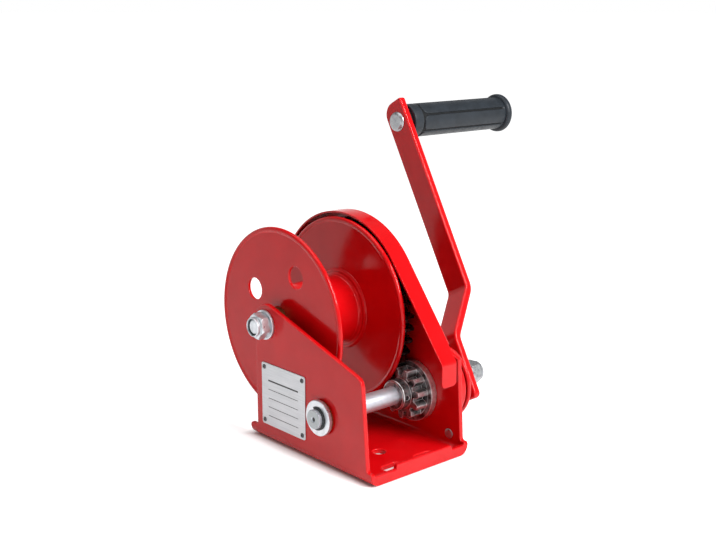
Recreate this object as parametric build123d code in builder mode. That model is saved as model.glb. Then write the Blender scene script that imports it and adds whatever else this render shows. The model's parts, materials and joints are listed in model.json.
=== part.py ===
from build123d import *

import os
from math import acos, asin, atan2, ceil, cos, degrees, hypot, pi, radians, sin, sqrt, tan

# Hand winch: a bent sheet frame carries a rope drum, a gear pair, a load brake and a crank.
# Millimetres. X runs along the drum towards the crank, Y to the rear, Z up.
# The origin is the centre of the base's underside.

os.makedirs("parts", exist_ok=True)

# Frame: one sheet bent to a U, two side plates on a base
sheet = 4.0
frame_width = 102.5
base_length = 149.0
bend_radius = 8.0
foot_height = 10.5
foot_round = 2.2
front_setback = 4.5
rear_setback = 9.5
front_lean = 0.09
right_front_lean = 0.06
crest_slope = 21.9
crest_run = 12.15
front_flange_height = 8.0
lip_height = 11.8
lip_left = 25.8
lip_right = 33.2
left_front_height = 80.0
left_slope = 17.3
left_front_round = 8.0
left_rear_round = 14.0
slot_width = 11.0
slot_length = 20.0
slot_spacing_x = 34.0
slot_spacing_y = 122.0
floor_hole = 10.5
floor_hole_x = -5.0
floor_hole_y = -32.0

# Gear guard: an angle strip, one leg over the gear and one on the right plate, with a tab at its front
guard_thickness = 1.6
guard_width = 17.6
guard_proud = 5.9
guard_clearance = 3.86
guard_back = 2.6
guard_lift = 0.3
guard_slope = 52.2
guard_rear_angle = 20.0
guard_bend = 1.5
guard_leg = 7.0
guard_corner = 4.0
tab_setback = 0.4
tab_length = 18.5
tab_round = 4.0
tab_gap = 1.8

# Gear pair
gear_module = 3.25
pinion_teeth = 11
gear_teeth = 45
pressure_angle = 20.0
profile_shift = 0.35
pinion_tip_cut = 1.4
tooth_thinning = 0.12
gear_width = 9.6
gear_boss_radius = 55.0
gear_gap = 6.8
mesh_angle = 219.6

# Drum
drum_y = 52.0
drum_z = 98.0
flange_left_radius = 76.4
flange_right_radius = 76.9
flange_sheet = 2.5
rim_bead = 4.4
left_flange_gap = 9.45
flange_seat = 1.75
barrel_radius = 28.0
barrel_wall = 3.5
collar_radius = 34.5
collar_height = 2.0
rope_hole = 18.0
rope_holes = ((38.0, 34.0), (45.5, 119.0))

# Drum axle: a bolt through both plates, with a sleeve that the drum turns on
axle_radius = 6.0
sleeve_radius = 9.0
bush_wall = 3.0
bush_end_gap = 0.25
bush_grip = 6.0
washer_radius = 12.0
washer_thickness = 2.5
axle_washer = 2.0
nut_flats = 19.0
nut_height = 10.0
nut_collar_radius = 8.9
nut_collar_height = 4.0
insert_wall = 1.6
bolt_stub = 12.5
thin_nut_height = 8.0
thin_collar_radius = 7.8
thin_collar_height = 3.1
thin_insert_wall = 0.7
thin_break = 0.5
axle_stub = 9.9
axle_chamfer = 1.5
bolt_head_height = 7.5
edge_break = 1.2

# Crank shaft
shaft_radius = 7.5
shaft_left = 9.0
shaft_chamfer = 0.4
centre_drill_radius = 2.5
bush_flange_radius = 13.0
bush_flange = 1.5
shaft_bush_wall = 3.0
shaft_washer_radius = 14.0
shaft_washer_thickness = 3.2
washer_chamfer = 0.4
circlip_radius = 9.2
circlip_thickness = 1.1
circlip_groove = 0.5
circlip_gap = 5.0
circlip_gap_angle = 48.0
stub_radius = 6.0

# Pinion
pinion_hub_radius = 12.5
pinion_hub_length = 8.5
pinion_disc_radius = 25.2
pinion_disc_thickness = 5.7
pinion_pin_radius = 2.0
pinion_pin_recess = 0.6

# Load brake
cup_radius = 31.5
cup_wall = 1.5
cup_depth = 23.5
cup_screw_radius = 27.4
cup_screw_angles = (90.0, 215.0, 330.0)
ear_y = -57.2
ear_z = 12.9
ear_radius = 5.5
ear_rivet_radius = 3.0
ear_head_radius = 4.0
ear_head_length = 6.5
ear_foot_radius = 4.2
ear_foot_height = 1.1
screw_shank = 1.6
screw_floor = 1.0
screw_head = 2.3
screw_head_height = 2.2
brake_gap = 0.4
brake_flange_radius = 24.0
brake_flange_thickness = 4.6
friction_radius = 23.0
friction_thickness = 3.0
ratchet_width = 8.0
ratchet_side_gap = 0.15
ratchet_teeth = 10
ratchet_tip = 27.0
ratchet_root = 22.5
ratchet_face_angle = -30.0
ratchet_bush_wall = 3.0
hub_spigot = 5.5
hub_disc = 4.0
hub_boss_radius = 13.0
hub_boss = 16.2

# Pawl
pawl_pivot_y = 21.0
pawl_pivot_z = 67.1
pawl_boss_radius = 7.0
pawl_depth = 8.0
pawl_inset = 1.5
pawl_nose = 0.2
pawl_nose_length = 4.0
pawl_reach_gap = 0.3
pawl_pin_radius = 4.0
pawl_post_radius = 4.7
pawl_foot_radius = 3.0
pawl_rivet_radius = 4.2
pawl_rivet_height = 1.1
pawl_side_gap = 0.25
pawl_clip_radius = 6.5
pawl_clip_thickness = 1.8
window_margin = 7.0

# Pawl spring
spring_wire = 1.2
spring_sides = 8
spring_whole_turns = 4
spring_gap = 0.6
spring_seat_gap = 0.3
spring_leg = 18.0
spring_start = -240.0

# Crank
arm_lean = 28.9
arm_length = 232.3
arm_width = 25.0
arm_thickness = 7.0
arm_offset = 33.0
arm_bend_start = 32.0
arm_bend_end = 70.0
arm_bend_radius = 12.0
arm_foot = 22.5
arm_head = 18.5
arm_corner = 5.0
arm_front_corner = 2.5
arm_rear_corner = 12.0
grip_gap = 1.8
grip_length = 126.6
grip_radius = 15.1
grip_end_radius = 18.0
grip_end_length = 5.8
grip_collar = 10.0
grip_panels = 6
panel_depth = 1.0
panel_width = 11.4
panel_turn = 3.0
pin_radius = 5.0
pin_head_radius = 9.0
pin_head_height = 3.0
pin_end_radius = 8.0
pin_recess = 8.0
grip_washer_radius = 11.0

# Name plate
label_front = 1.6
label_rear = 56.9
label_foot = 14.8
label_top = 66.6
label_thickness = 0.8
label_round = 2.0
label_rivet_inset = 3.6
label_rivet_radius = 1.9
label_rivet_height = 0.8

# Clearances
running = 0.06
loose = 0.2

# Places that follow from the sizes above
plate_out = frame_width / 2
plate_in = plate_out - sheet
base_front = -base_length / 2
base_rear = base_length / 2
plate_front = base_front + front_setback
plate_rear = base_rear - rear_setback
drum_axis = (drum_y, drum_z)
pinion_pitch = gear_module * pinion_teeth / 2
gear_pitch = gear_module * gear_teeth / 2
pinion_tip = pinion_pitch + gear_module * (1 + profile_shift) - pinion_tip_cut
pinion_root = pinion_pitch - gear_module * (1.25 - profile_shift)
gear_tip = gear_pitch + gear_module * (1 - profile_shift)
gear_root = gear_pitch - gear_module * (1.25 + profile_shift)
pinion_axis = (
    drum_y + (pinion_pitch + gear_pitch) * cos(radians(mesh_angle)),
    drum_z + (pinion_pitch + gear_pitch) * sin(radians(mesh_angle)),
)
guard_axis = (drum_y + guard_back, drum_z + guard_lift)
guard_inner = gear_tip + guard_clearance
guard_outer = guard_inner + guard_thickness
right_edge = guard_outer - guard_proud

gear_right = plate_in - gear_gap
gear_left = gear_right - gear_width
flange_right_out = gear_left - flange_seat
flange_right_in = flange_right_out - flange_sheet
flange_left_out = -plate_in + left_flange_gap
flange_left_in = flange_left_out + flange_sheet
drum_bush_radius = sleeve_radius + running + bush_wall

brake_start = plate_out + bush_flange + brake_gap
disc_inner_start = brake_start + brake_flange_thickness
ratchet_start = disc_inner_start + friction_thickness
ratchet_end = ratchet_start + ratchet_width
spigot_start = ratchet_end + friction_thickness
hub_disc_start = spigot_start + hub_spigot
hub_boss_start = hub_disc_start + hub_disc
arm_start = hub_boss_start + hub_boss
crank_washer_start = arm_start + arm_thickness
crank_nut_start = crank_washer_start + washer_thickness
upper_start = arm_start + arm_offset
upper_end = upper_start + arm_thickness
grip_start = upper_end + grip_gap
grip_end = grip_start + grip_length
grip_axis = (
    pinion_axis[0] + arm_length * sin(radians(arm_lean)),
    pinion_axis[1] + arm_length * cos(radians(arm_lean)),
)
pawl_pivot = (pawl_pivot_y, pawl_pivot_z)
ear_place = (ear_y, ear_z)


def polar(centre, radius, angle):
    """Point at a radius and an angle (degrees from the rear towards the top) about an axis along X."""
    return (centre[0] + radius * cos(radians(angle)), centre[1] + radius * sin(radians(angle)))


def front_edge(height, lean=front_lean):
    """Place of a side plate's leaning front edge at a height."""
    return plate_front + lean * height


def axle_plane(centre):
    """Plane through an axis along X: its first axis is the axle, its second the radius."""
    return Plane(origin=(0, centre[0], centre[1]), x_dir=(1, 0, 0), z_dir=(0, -1, 0))


def add_disc(centre, start, end, radius, mode=Mode.ADD):
    """Adds, or cuts, a round slice along X between two stations."""
    with BuildSketch(Plane.YZ.offset(start)) as face:
        with Locations(centre):
            Circle(radius)
    extrude(face.sketch, amount=end - start, mode=mode)


def add_turned(centre, outline, mode=Mode.ADD):
    """Adds, or cuts, a turned form from its outline of stations along X and radii."""
    with BuildSketch(axle_plane(centre)) as face:
        with BuildLine():
            Polyline(*outline, close=True)
        make_face()
    revolve(face.sketch, axis=Axis((0, centre[0], centre[1]), (1, 0, 0)), mode=mode)


def add_hexagon(centre, start, end, turn):
    """Adds a hexagon along X whose outer corners are broken by a cone at both ends."""
    with BuildSketch(Plane.YZ.offset(start)) as face:
        with Locations(centre):
            RegularPolygon(nut_flats / 2, 6, major_radius=False, rotation=turn)
    extrude(face.sketch, amount=end - start)
    corner = nut_flats / sqrt(3)
    add_turned(
        centre,
        [
            (start, 0),
            (start, nut_flats / 2),
            (start + edge_break, corner),
            (end - edge_break, corner),
            (end, nut_flats / 2),
            (end, 0),
        ],
        mode=Mode.INTERSECT,
    )


def involute(angle):
    """Involute function of a pressure angle in radians."""
    return tan(angle) - angle


def draw_gear(centre, teeth, shift, tip, root, phase):
    """Draws a spur gear's outline: each flank is an arc through three points of its involute."""
    pitch = gear_module * teeth / 2
    base = pitch * cos(radians(pressure_angle))
    foot = max(base, root)
    half = pi / (2 * teeth) + 2 * shift * tan(radians(pressure_angle)) / teeth - tooth_thinning / pitch
    half_base = half + involute(radians(pressure_angle))

    def flank(radius, side, middle):
        spread = half_base - involute(acos(min(1.0, base / radius)))
        return polar(centre, radius, degrees(middle + side * spread))

    for index in range(teeth):
        middle = radians(phase) + 2 * pi * index / teeth
        nearby = middle + 2 * pi / teeth
        rise = (polar(centre, root, degrees(middle - half_base)), flank(foot, -1, middle))
        fall = (flank(foot, 1, middle), polar(centre, root, degrees(middle + half_base)))
        between = (foot + tip) / 2
        Line(*rise)
        ThreePointArc(rise[1], flank(between, -1, middle), flank(tip, -1, middle))
        Line(flank(tip, -1, middle), flank(tip, 1, middle))
        ThreePointArc(flank(tip, 1, middle), flank(between, 1, middle), fall[0])
        Line(*fall)
        Line(fall[1], polar(centre, root, degrees(nearby - half_base)))


def finish(builder, label):
    """Labels a finished piece and writes it."""
    builder.part.label = label
    export_step(builder.part, "parts/" + label + ".step")


# Frame outlines, seen along X: the first axis is Y, the second Z
left_corner_y = front_edge(left_front_height)
left_rear_height = left_front_height + (plate_rear - left_corner_y) * tan(radians(left_slope))
slope_tangent = polar(guard_axis, right_edge, 90 + guard_slope)
slope_rise = tan(radians(guard_slope))
crest_rise = tan(radians(crest_slope))
crest_foot = slope_tangent[1] + slope_rise * (plate_front + crest_run - slope_tangent[0])
right_corner_height = (crest_foot - crest_rise * crest_run) / (1 - slope_rise * right_front_lean)
right_corner = (front_edge(right_corner_height, right_front_lean), right_corner_height)
crest_end = (right_corner[0] + crest_run, right_corner_height + crest_rise * crest_run)
rear_foot = (plate_rear, foot_height)
rear_offset = (rear_foot[0] - guard_axis[0], rear_foot[1] - guard_axis[1])
rear_reach = hypot(rear_offset[0], rear_offset[1])
rear_tangent_angle = degrees(atan2(rear_offset[1], rear_offset[0]) + acos(right_edge / rear_reach))
rear_tangent = polar(guard_axis, right_edge, rear_tangent_angle)

with BuildPart() as winch_frame:
    # Base and the two bends
    inner_bend = bend_radius - sheet
    with BuildSketch(Plane.XZ.offset(-base_rear)):
        with BuildLine():
            right_outer = Line((plate_out, bend_radius), (plate_in, bend_radius))
            right_inner = RadiusArc(right_outer @ 1, (plate_in - inner_bend, sheet), inner_bend)
            floor = Line(right_inner @ 1, (inner_bend - plate_in, sheet))
            left_inner = RadiusArc(floor @ 1, (-plate_in, bend_radius), inner_bend)
            left_outer = Line(left_inner @ 1, (-plate_out, bend_radius))
            left_bend = RadiusArc(left_outer @ 1, (bend_radius - plate_out, 0), -bend_radius)
            underside = Line(left_bend @ 1, (plate_out - bend_radius, 0))
            RadiusArc(underside @ 1, right_outer @ 0, -bend_radius)
        make_face()
    extrude(amount=base_length)
    # Left plate with its two feet
    with BuildSketch(Plane.YZ.offset(-plate_out)) as left_plate:
        with BuildLine():
            FilletPolyline(
                (front_edge(bend_radius), bend_radius),
                (left_corner_y, left_front_height),
                (plate_rear, left_rear_height),
                (plate_rear, bend_radius),
                radius=(0, left_front_round, left_rear_round, 0),
                close=True,
            )
        make_face()
        with Locations((0, (bend_radius + foot_height) / 2)):
            Rectangle(base_length, foot_height - bend_radius)
        fillet(left_plate.vertices().filter_by_position(Axis.Y, foot_height - 0.1, foot_height + 0.1), foot_round)
    extrude(amount=sheet)
    # Right plate, round behind the gear
    with BuildSketch(Plane.YZ.offset(plate_in)) as right_plate:
        with BuildLine():
            front = Line((front_edge(bend_radius, right_front_lean), bend_radius), right_corner)
            crest = Line(front @ 1, crest_end)
            slope = Line(crest @ 1, slope_tangent)
            crown = ThreePointArc(slope @ 1, polar(guard_axis, right_edge, 45), rear_tangent)
            rear = Line(crown @ 1, rear_foot)
            foot = Line(rear @ 1, (plate_rear, bend_radius))
            Line(foot @ 1, front @ 0)
        make_face()
        with Locations((0, (bend_radius + foot_height) / 2)):
            Rectangle(base_length, foot_height - bend_radius)
        front_corners = right_plate.vertices().filter_by_position(Axis.Y, foot_height - 0.1, foot_height + 0.1)
        fillet([front_corners.sort_by(Axis.X)[i] for i in (0, 1, -1)], foot_round)
    extrude(amount=sheet)
    # Front flange, higher in its middle
    with BuildSketch(Plane.XZ.offset(-base_front)) as front_lip:
        with Locations((0, (sheet + front_flange_height) / 2)):
            Rectangle(2 * plate_in, front_flange_height - sheet)
        with Locations(((lip_right - lip_left) / 2, (sheet + lip_height) / 2)):
            Rectangle(lip_left + lip_right, lip_height - sheet)
        fillet(front_lip.vertices().group_by(Axis.Y)[-1], foot_round)
    extrude(amount=-sheet)
    # Mounting slots and the round hole in the floor
    with BuildSketch() as floor_cuts:
        with GridLocations(slot_spacing_x, slot_spacing_y, 2, 2):
            SlotOverall(slot_length, slot_width)
        with Locations((floor_hole_x, floor_hole_y)):
            Circle(floor_hole / 2)
    extrude(amount=sheet, mode=Mode.SUBTRACT)
    # Bores for the axle, the shaft's bushes, the pawl's post and the brake housing's rivet and screws
    for start in (-plate_out, plate_in):
        add_disc(drum_axis, start, start + sheet, axle_radius + running, mode=Mode.SUBTRACT)
        add_disc(pinion_axis, start, start + sheet, shaft_radius + running + shaft_bush_wall, mode=Mode.SUBTRACT)
    add_disc(pawl_pivot, plate_in, plate_out, pawl_foot_radius, mode=Mode.SUBTRACT)
    add_disc(ear_place, plate_in, plate_out, ear_rivet_radius, mode=Mode.SUBTRACT)
    for angle in cup_screw_angles:
        place = polar(pinion_axis, cup_screw_radius, angle)
        add_disc(place, plate_in + screw_floor, plate_out, screw_shank, mode=Mode.SUBTRACT)
finish(winch_frame, "winch_frame")

def on_slope(radius, run):
    """Point on the guard's straight slope: a distance from the guard's centre, and a run down from the round part."""
    start = polar(guard_axis, radius, 90 + guard_slope)
    return (start[0] - run * cos(radians(guard_slope)), start[1] - run * sin(radians(guard_slope)))


def draw_strip(radius, run):
    """Draws the guard's line at a radius, over the round part and down a run of the slope."""
    arc = ThreePointArc(
        polar(guard_axis, radius, guard_rear_angle),
        polar(guard_axis, radius, 90),
        polar(guard_axis, radius, 90 + guard_slope),
    )
    if run > 0:
        Line(arc @ 1, on_slope(radius, run))
    return arc


def on_guard_bend(edge):
    """True for the edge where the guard's two legs meet on the outside."""
    middle = edge @ 0.5
    across = (middle.Y - guard_axis[0], middle.Z - guard_axis[1])
    reach = across[0] * cos(radians(90 + guard_slope)) + across[1] * sin(radians(90 + guard_slope))
    outside = abs(hypot(across[0], across[1]) - guard_outer) < 0.05 or abs(reach - guard_outer) < 0.05
    return outside and abs(middle.X - plate_in) < 0.01


with BuildPart() as gear_guard:
    guard_middle = guard_inner + guard_thickness / 2
    tab_line = right_corner[0] + tab_setback
    tab_run = (on_slope(guard_middle, 0)[0] - tab_line) / cos(radians(guard_slope))
    tab_top = on_slope(guard_middle, tab_run)
    tab_foot = tab_top[1] - tab_length
    with BuildSketch(Plane.YZ.offset(plate_in - guard_width)):
        with BuildLine():
            strip_crown = draw_strip(guard_middle, 0)
            FilletPolyline(
                strip_crown @ 1,
                tab_top,
                (tab_line, tab_foot),
                radius=guard_corner,
            )
        trace(line_width=guard_thickness)
    extrude(amount=guard_width - tab_gap)
    # Next to the plate the strip ends above the tab, and its second leg lies on the plate's inner face
    leg_radius = guard_middle - (guard_leg - guard_thickness) / 2
    bend_run = (on_slope(right_edge, 0)[0] - crest_end[0] - tab_gap) / cos(radians(guard_slope))
    for radius, width, depth in ((guard_middle, guard_thickness, tab_gap), (leg_radius, guard_leg, guard_thickness)):
        with BuildSketch(Plane.YZ.offset(plate_in - depth)):
            with BuildLine():
                draw_strip(radius, bend_run)
            trace(line_width=width)
        extrude(amount=depth)
    fillet(gear_guard.edges().filter_by(on_guard_bend), guard_bend)
    tab_edges = gear_guard.edges().filter_by(GeomType.LINE).filter_by_position(Axis.Z, tab_foot - 1, tab_foot + 1)
    tab_left = tab_edges.filter_by_position(Axis.X, plate_in - guard_width - 0.1, plate_in - guard_width + 0.1)
    tab_right = tab_edges.filter_by_position(Axis.X, plate_in - tab_gap - 0.1, plate_in - tab_gap + 0.1)
    fillet(tab_left + tab_right, tab_round)
finish(gear_guard, "gear_guard")

with BuildPart() as name_plate:
    label_middle = ((label_front + label_rear) / 2, (label_foot + label_top) / 2)
    label_size = (label_rear - label_front, label_top - label_foot)
    with BuildSketch(Plane.YZ.offset(-plate_out - label_thickness)):
        with Locations(label_middle):
            RectangleRounded(label_size[0], label_size[1], label_round)
    extrude(amount=label_thickness)
finish(name_plate, "name_plate")

with BuildPart() as name_plate_rivets:
    with BuildSketch(Plane.YZ.offset(-plate_out - label_thickness - label_rivet_height)):
        with Locations(label_middle):
            with GridLocations(label_size[0] - 2 * label_rivet_inset, label_size[1] - 2 * label_rivet_inset, 2, 2):
                Circle(label_rivet_radius)
    extrude(amount=label_rivet_height)
finish(name_plate_rivets, "name_plate_rivets")

# Drum axle and what clamps it
nut_start = -plate_out - axle_washer
nut_end = nut_start - thin_nut_height
collar_end = nut_end - thin_collar_height
bolt_head = plate_out + axle_washer

with BuildPart() as drum_axle:
    add_hexagon(drum_axis, bolt_head, bolt_head + bolt_head_height, 0)
    bolt_end = nut_start - axle_stub
    add_turned(
        drum_axis,
        [
            (bolt_end, 0),
            (bolt_end, axle_radius - axle_chamfer),
            (bolt_end + axle_chamfer / 2, axle_radius),
            (bolt_head, axle_radius),
            (bolt_head, 0),
        ],
    )
finish(drum_axle, "drum_axle")

with BuildPart() as axle_washers:
    for start in (nut_start, plate_out):
        add_disc(drum_axis, start, start + axle_washer, washer_radius)
        add_disc(drum_axis, start, start + axle_washer, axle_radius, mode=Mode.SUBTRACT)
finish(axle_washers, "axle_washers")

with BuildPart() as axle_nut:
    add_hexagon(drum_axis, nut_end, nut_start, 15)
    add_disc(drum_axis, collar_end, nut_end, thin_collar_radius)
    chamfer(axle_nut.faces().sort_by(Axis.X)[0].edges(), thin_break)
    add_disc(drum_axis, nut_end, nut_start, axle_radius, mode=Mode.SUBTRACT)
    add_disc(drum_axis, collar_end, nut_end, axle_radius + thin_insert_wall, mode=Mode.SUBTRACT)
finish(axle_nut, "axle_nut")

with BuildPart() as axle_nut_insert:
    insert_end = collar_end + edge_break
    add_disc(drum_axis, insert_end, nut_end, axle_radius + thin_insert_wall)
    add_disc(drum_axis, insert_end, nut_end, axle_radius, mode=Mode.SUBTRACT)
finish(axle_nut_insert, "axle_nut_insert")

with BuildPart() as axle_sleeve:
    add_disc(drum_axis, -plate_in, plate_in, sleeve_radius)
    add_disc(drum_axis, -plate_in, plate_in, axle_radius, mode=Mode.SUBTRACT)
finish(axle_sleeve, "axle_sleeve")

# Drum
with BuildPart() as drum_barrel:
    add_turned(
        drum_axis,
        [
            (flange_left_in, barrel_radius - barrel_wall),
            (flange_left_in, barrel_radius),
            (flange_right_in - 2 * collar_height, barrel_radius),
            (flange_right_in - collar_height, barrel_radius + collar_height),
            (flange_right_in - collar_height, collar_radius - collar_height),
            (flange_right_in, collar_radius),
            (flange_right_in, barrel_radius - barrel_wall),
        ],
    )
finish(drum_barrel, "drum_barrel")


def add_flange(start, radius):
    """Adds a drum flange: a disc with a rolled rim and a seat for its bush."""
    rim = radius - rim_bead / 2
    middle = start + flange_sheet / 2
    add_disc(drum_axis, start, start + flange_sheet, rim)
    with BuildSketch(axle_plane(drum_axis)) as bead:
        with Locations((middle, rim)):
            Circle(rim_bead / 2)
    revolve(bead.sketch, axis=Axis((0, drum_y, drum_z), (1, 0, 0)))
    add_disc(drum_axis, start, start + flange_sheet, drum_bush_radius, mode=Mode.SUBTRACT)


with BuildPart() as drum_flange_left:
    add_flange(flange_left_out, flange_left_radius)
    for hole_radius, hole_angle in rope_holes:
        place = polar(drum_axis, hole_radius, hole_angle)
        add_disc(place, flange_left_out, flange_left_in, rope_hole / 2, mode=Mode.SUBTRACT)
finish(drum_flange_left, "drum_flange_left")

with BuildPart() as drum_flange_right:
    add_flange(flange_right_in, flange_right_radius)
finish(drum_flange_right, "drum_flange_right")

with BuildPart() as drum_gear:
    with BuildSketch(Plane.YZ.offset(gear_left)):
        with BuildLine():
            draw_gear(drum_axis, gear_teeth, -profile_shift, gear_tip, gear_root, mesh_angle + 180 / gear_teeth)
        make_face()
    extrude(amount=gear_width)
    add_disc(drum_axis, flange_right_out, gear_left, gear_boss_radius)
    add_disc(drum_axis, flange_right_out, gear_right, drum_bush_radius, mode=Mode.SUBTRACT)
finish(drum_gear, "drum_gear")

with BuildPart() as drum_bushes:
    bush_end = plate_in - bush_end_gap
    for start, end in ((-bush_end, flange_left_in + bush_grip), (flange_right_in - bush_grip, bush_end)):
        add_disc(drum_axis, start, end, drum_bush_radius)
        add_disc(drum_axis, start, end, sleeve_radius + running, mode=Mode.SUBTRACT)
finish(drum_bushes, "drum_bushes")

# Crank shaft, its bushes and what holds it endways
shaft_end = -plate_out - shaft_left
left_bush_out = -plate_out - bush_flange
circlip_start = left_bush_out - running - shaft_washer_thickness - circlip_thickness
stub_end = crank_nut_start + bolt_stub

with BuildPart() as pinion_shaft:
    add_turned(
        pinion_axis,
        [
            (shaft_end, 0),
            (shaft_end, shaft_radius - shaft_chamfer),
            (shaft_end + shaft_chamfer, shaft_radius),
            (circlip_start, shaft_radius),
            (circlip_start, shaft_radius - circlip_groove),
            (circlip_start + circlip_thickness, shaft_radius - circlip_groove),
            (circlip_start + circlip_thickness, shaft_radius),
            (arm_start, shaft_radius),
            (arm_start, stub_radius),
            (stub_end - edge_break, stub_radius),
            (stub_end, stub_radius - edge_break),
            (stub_end, 0),
        ],
    )
    add_turned(
        pinion_axis,
        [(shaft_end, 0), (shaft_end, centre_drill_radius), (shaft_end + centre_drill_radius, 0)],
        mode=Mode.SUBTRACT,
    )
    pin_station = gear_left - pinion_hub_length / 2
    with BuildSketch(Plane(origin=(pin_station, pinion_axis[0], pinion_axis[1]), z_dir=(0, -1, 0))):
        Circle(pinion_pin_radius)
    extrude(amount=shaft_radius * 2, both=True, mode=Mode.SUBTRACT)
finish(pinion_shaft, "pinion_shaft")

bush_bore = shaft_radius + running
bush_seat = bush_bore + shaft_bush_wall

with BuildPart() as shaft_bush_left:
    add_disc(pinion_axis, left_bush_out, -plate_out, bush_flange_radius)
    add_disc(pinion_axis, -plate_out, -plate_in + bush_flange, bush_seat)
    add_disc(pinion_axis, left_bush_out, -plate_in + bush_flange, bush_bore, mode=Mode.SUBTRACT)
finish(shaft_bush_left, "shaft_bush_left")

with BuildPart() as shaft_bush_right:
    add_disc(pinion_axis, plate_in, plate_out, bush_seat)
    add_disc(pinion_axis, plate_out, plate_out + bush_flange, bush_flange_radius)
    add_disc(pinion_axis, plate_in, plate_out + bush_flange, bush_bore, mode=Mode.SUBTRACT)
finish(shaft_bush_right, "shaft_bush_right")

with BuildPart() as shaft_washer:
    washer_start = circlip_start + circlip_thickness
    add_disc(pinion_axis, washer_start, washer_start + shaft_washer_thickness, shaft_washer_radius)
    chamfer(shaft_washer.faces().sort_by(Axis.X)[0].edges(), washer_chamfer)
    add_disc(pinion_axis, washer_start, washer_start + shaft_washer_thickness, shaft_radius, mode=Mode.SUBTRACT)
finish(shaft_washer, "shaft_washer")

with BuildPart() as shaft_circlip:
    add_disc(pinion_axis, circlip_start, circlip_start + circlip_thickness, circlip_radius)
    with BuildSketch(Plane.YZ.offset(circlip_start)):
        with Locations(pinion_axis):
            Circle(shaft_radius - circlip_groove)
        with Locations(polar(pinion_axis, circlip_radius, circlip_gap_angle)):
            Rectangle(2 * circlip_radius, circlip_gap, rotation=circlip_gap_angle)
    extrude(amount=circlip_thickness, mode=Mode.SUBTRACT)
finish(shaft_circlip, "shaft_circlip")

# Pinion: hub, teeth and a guard disc in one piece, pinned to the shaft
with BuildPart() as pinion:
    disc_start = plate_in - bush_end_gap - pinion_disc_thickness
    with BuildSketch(Plane.YZ.offset(gear_left)):
        with BuildLine():
            draw_gear(pinion_axis, pinion_teeth, profile_shift, pinion_tip, pinion_root, mesh_angle + 180)
        make_face()
    extrude(amount=disc_start - gear_left)
    add_disc(pinion_axis, gear_left - pinion_hub_length, gear_left, pinion_hub_radius)
    chamfer(pinion.faces().sort_by(Axis.X)[0].edges(), edge_break)
    add_disc(pinion_axis, disc_start, disc_start + pinion_disc_thickness, pinion_disc_radius)
    add_disc(
        pinion_axis,
        gear_left - pinion_hub_length,
        disc_start + pinion_disc_thickness,
        shaft_radius,
        mode=Mode.SUBTRACT,
    )
    with BuildSketch(Plane(origin=(pin_station, pinion_axis[0], pinion_axis[1]), z_dir=(0, -1, 0))):
        Circle(pinion_pin_radius)
    extrude(amount=pinion_hub_radius * 2, both=True, mode=Mode.SUBTRACT)
finish(pinion, "pinion")

with BuildPart() as pinion_pin:
    pin_half = pinion_hub_radius - pinion_pin_recess
    with BuildSketch(Plane(origin=(pin_station, pinion_axis[0], pinion_axis[1]), z_dir=(0, -1, 0))):
        Circle(pinion_pin_radius)
    extrude(amount=pin_half, both=True)
finish(pinion_pin, "pinion_pin")

# Load brake
cup_end = plate_out + cup_depth
ear_reach = hypot(pinion_axis[0] - ear_y, pinion_axis[1] - ear_z)
ear_angle = degrees(atan2(pinion_axis[1] - ear_z, pinion_axis[0] - ear_y))
nose_angle = degrees(atan2(pinion_axis[1] - pawl_pivot_z, pinion_axis[0] - pawl_pivot_y))
pivot_reach = hypot(pinion_axis[0] - pawl_pivot_y, pinion_axis[1] - pawl_pivot_z)
contact_radius = ratchet_root + running
pawl_angle = nose_angle + degrees(asin(contact_radius / pivot_reach))
pawl_length = sqrt(pivot_reach**2 - contact_radius**2)
pawl_foot_angle = pawl_angle + 90
face_offset = radians(pawl_foot_angle - ratchet_face_angle)
pawl_end = pawl_length + ratchet_root * sin(face_offset) - pawl_reach_gap
window_start = ratchet_face_angle - window_margin
window_end = pawl_foot_angle + degrees(acos((ratchet_root + pawl_inset) / cup_radius)) + window_margin

with BuildPart() as brake_housing:
    add_disc(pinion_axis, plate_out, cup_end, cup_radius)
    chamfer(brake_housing.faces().sort_by(Axis.X)[-1].edges(), cup_wall / 2)
    # The ear that the rivet holds
    with BuildSketch(Plane.YZ.offset(plate_out)):
        with Locations(((pinion_axis[0] + ear_y) / 2, (pinion_axis[1] + ear_z) / 2)):
            SlotCenterToCenter(ear_reach, 2 * ear_radius, rotation=ear_angle)
    extrude(amount=cup_wall)
    add_disc(ear_place, plate_out, plate_out + cup_wall, ear_rivet_radius, mode=Mode.SUBTRACT)
    # The cup's hollow, its holes and the pawl's window
    add_disc(pinion_axis, plate_out + cup_wall, cup_end, cup_radius - cup_wall, mode=Mode.SUBTRACT)
    add_disc(pinion_axis, plate_out, plate_out + cup_wall, bush_flange_radius + loose, mode=Mode.SUBTRACT)
    for angle in cup_screw_angles:
        place = polar(pinion_axis, cup_screw_radius, angle)
        add_disc(place, plate_out, plate_out + cup_wall, screw_shank, mode=Mode.SUBTRACT)
    with BuildSketch(Plane.YZ.offset(ratchet_start - window_margin / 5)):
        with BuildLine():
            Polyline(
                pinion_axis,
                polar(pinion_axis, 2 * cup_radius, window_start),
                polar(pinion_axis, 2 * cup_radius, window_end),
                close=True,
            )
        make_face()
    extrude(amount=ratchet_width + 2 * window_margin / 5, mode=Mode.SUBTRACT)
finish(brake_housing, "brake_housing")

with BuildPart() as housing_screws:
    for angle in cup_screw_angles:
        head = plate_out + cup_wall
        add_turned(
            polar(pinion_axis, cup_screw_radius, angle),
            [
                (plate_in + screw_floor, 0),
                (plate_in + screw_floor, screw_shank),
                (head, screw_shank),
                (head, screw_head),
                (head + screw_head_height, screw_head),
                (head + screw_head_height, 0),
            ],
        )
finish(housing_screws, "housing_screws")

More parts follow.
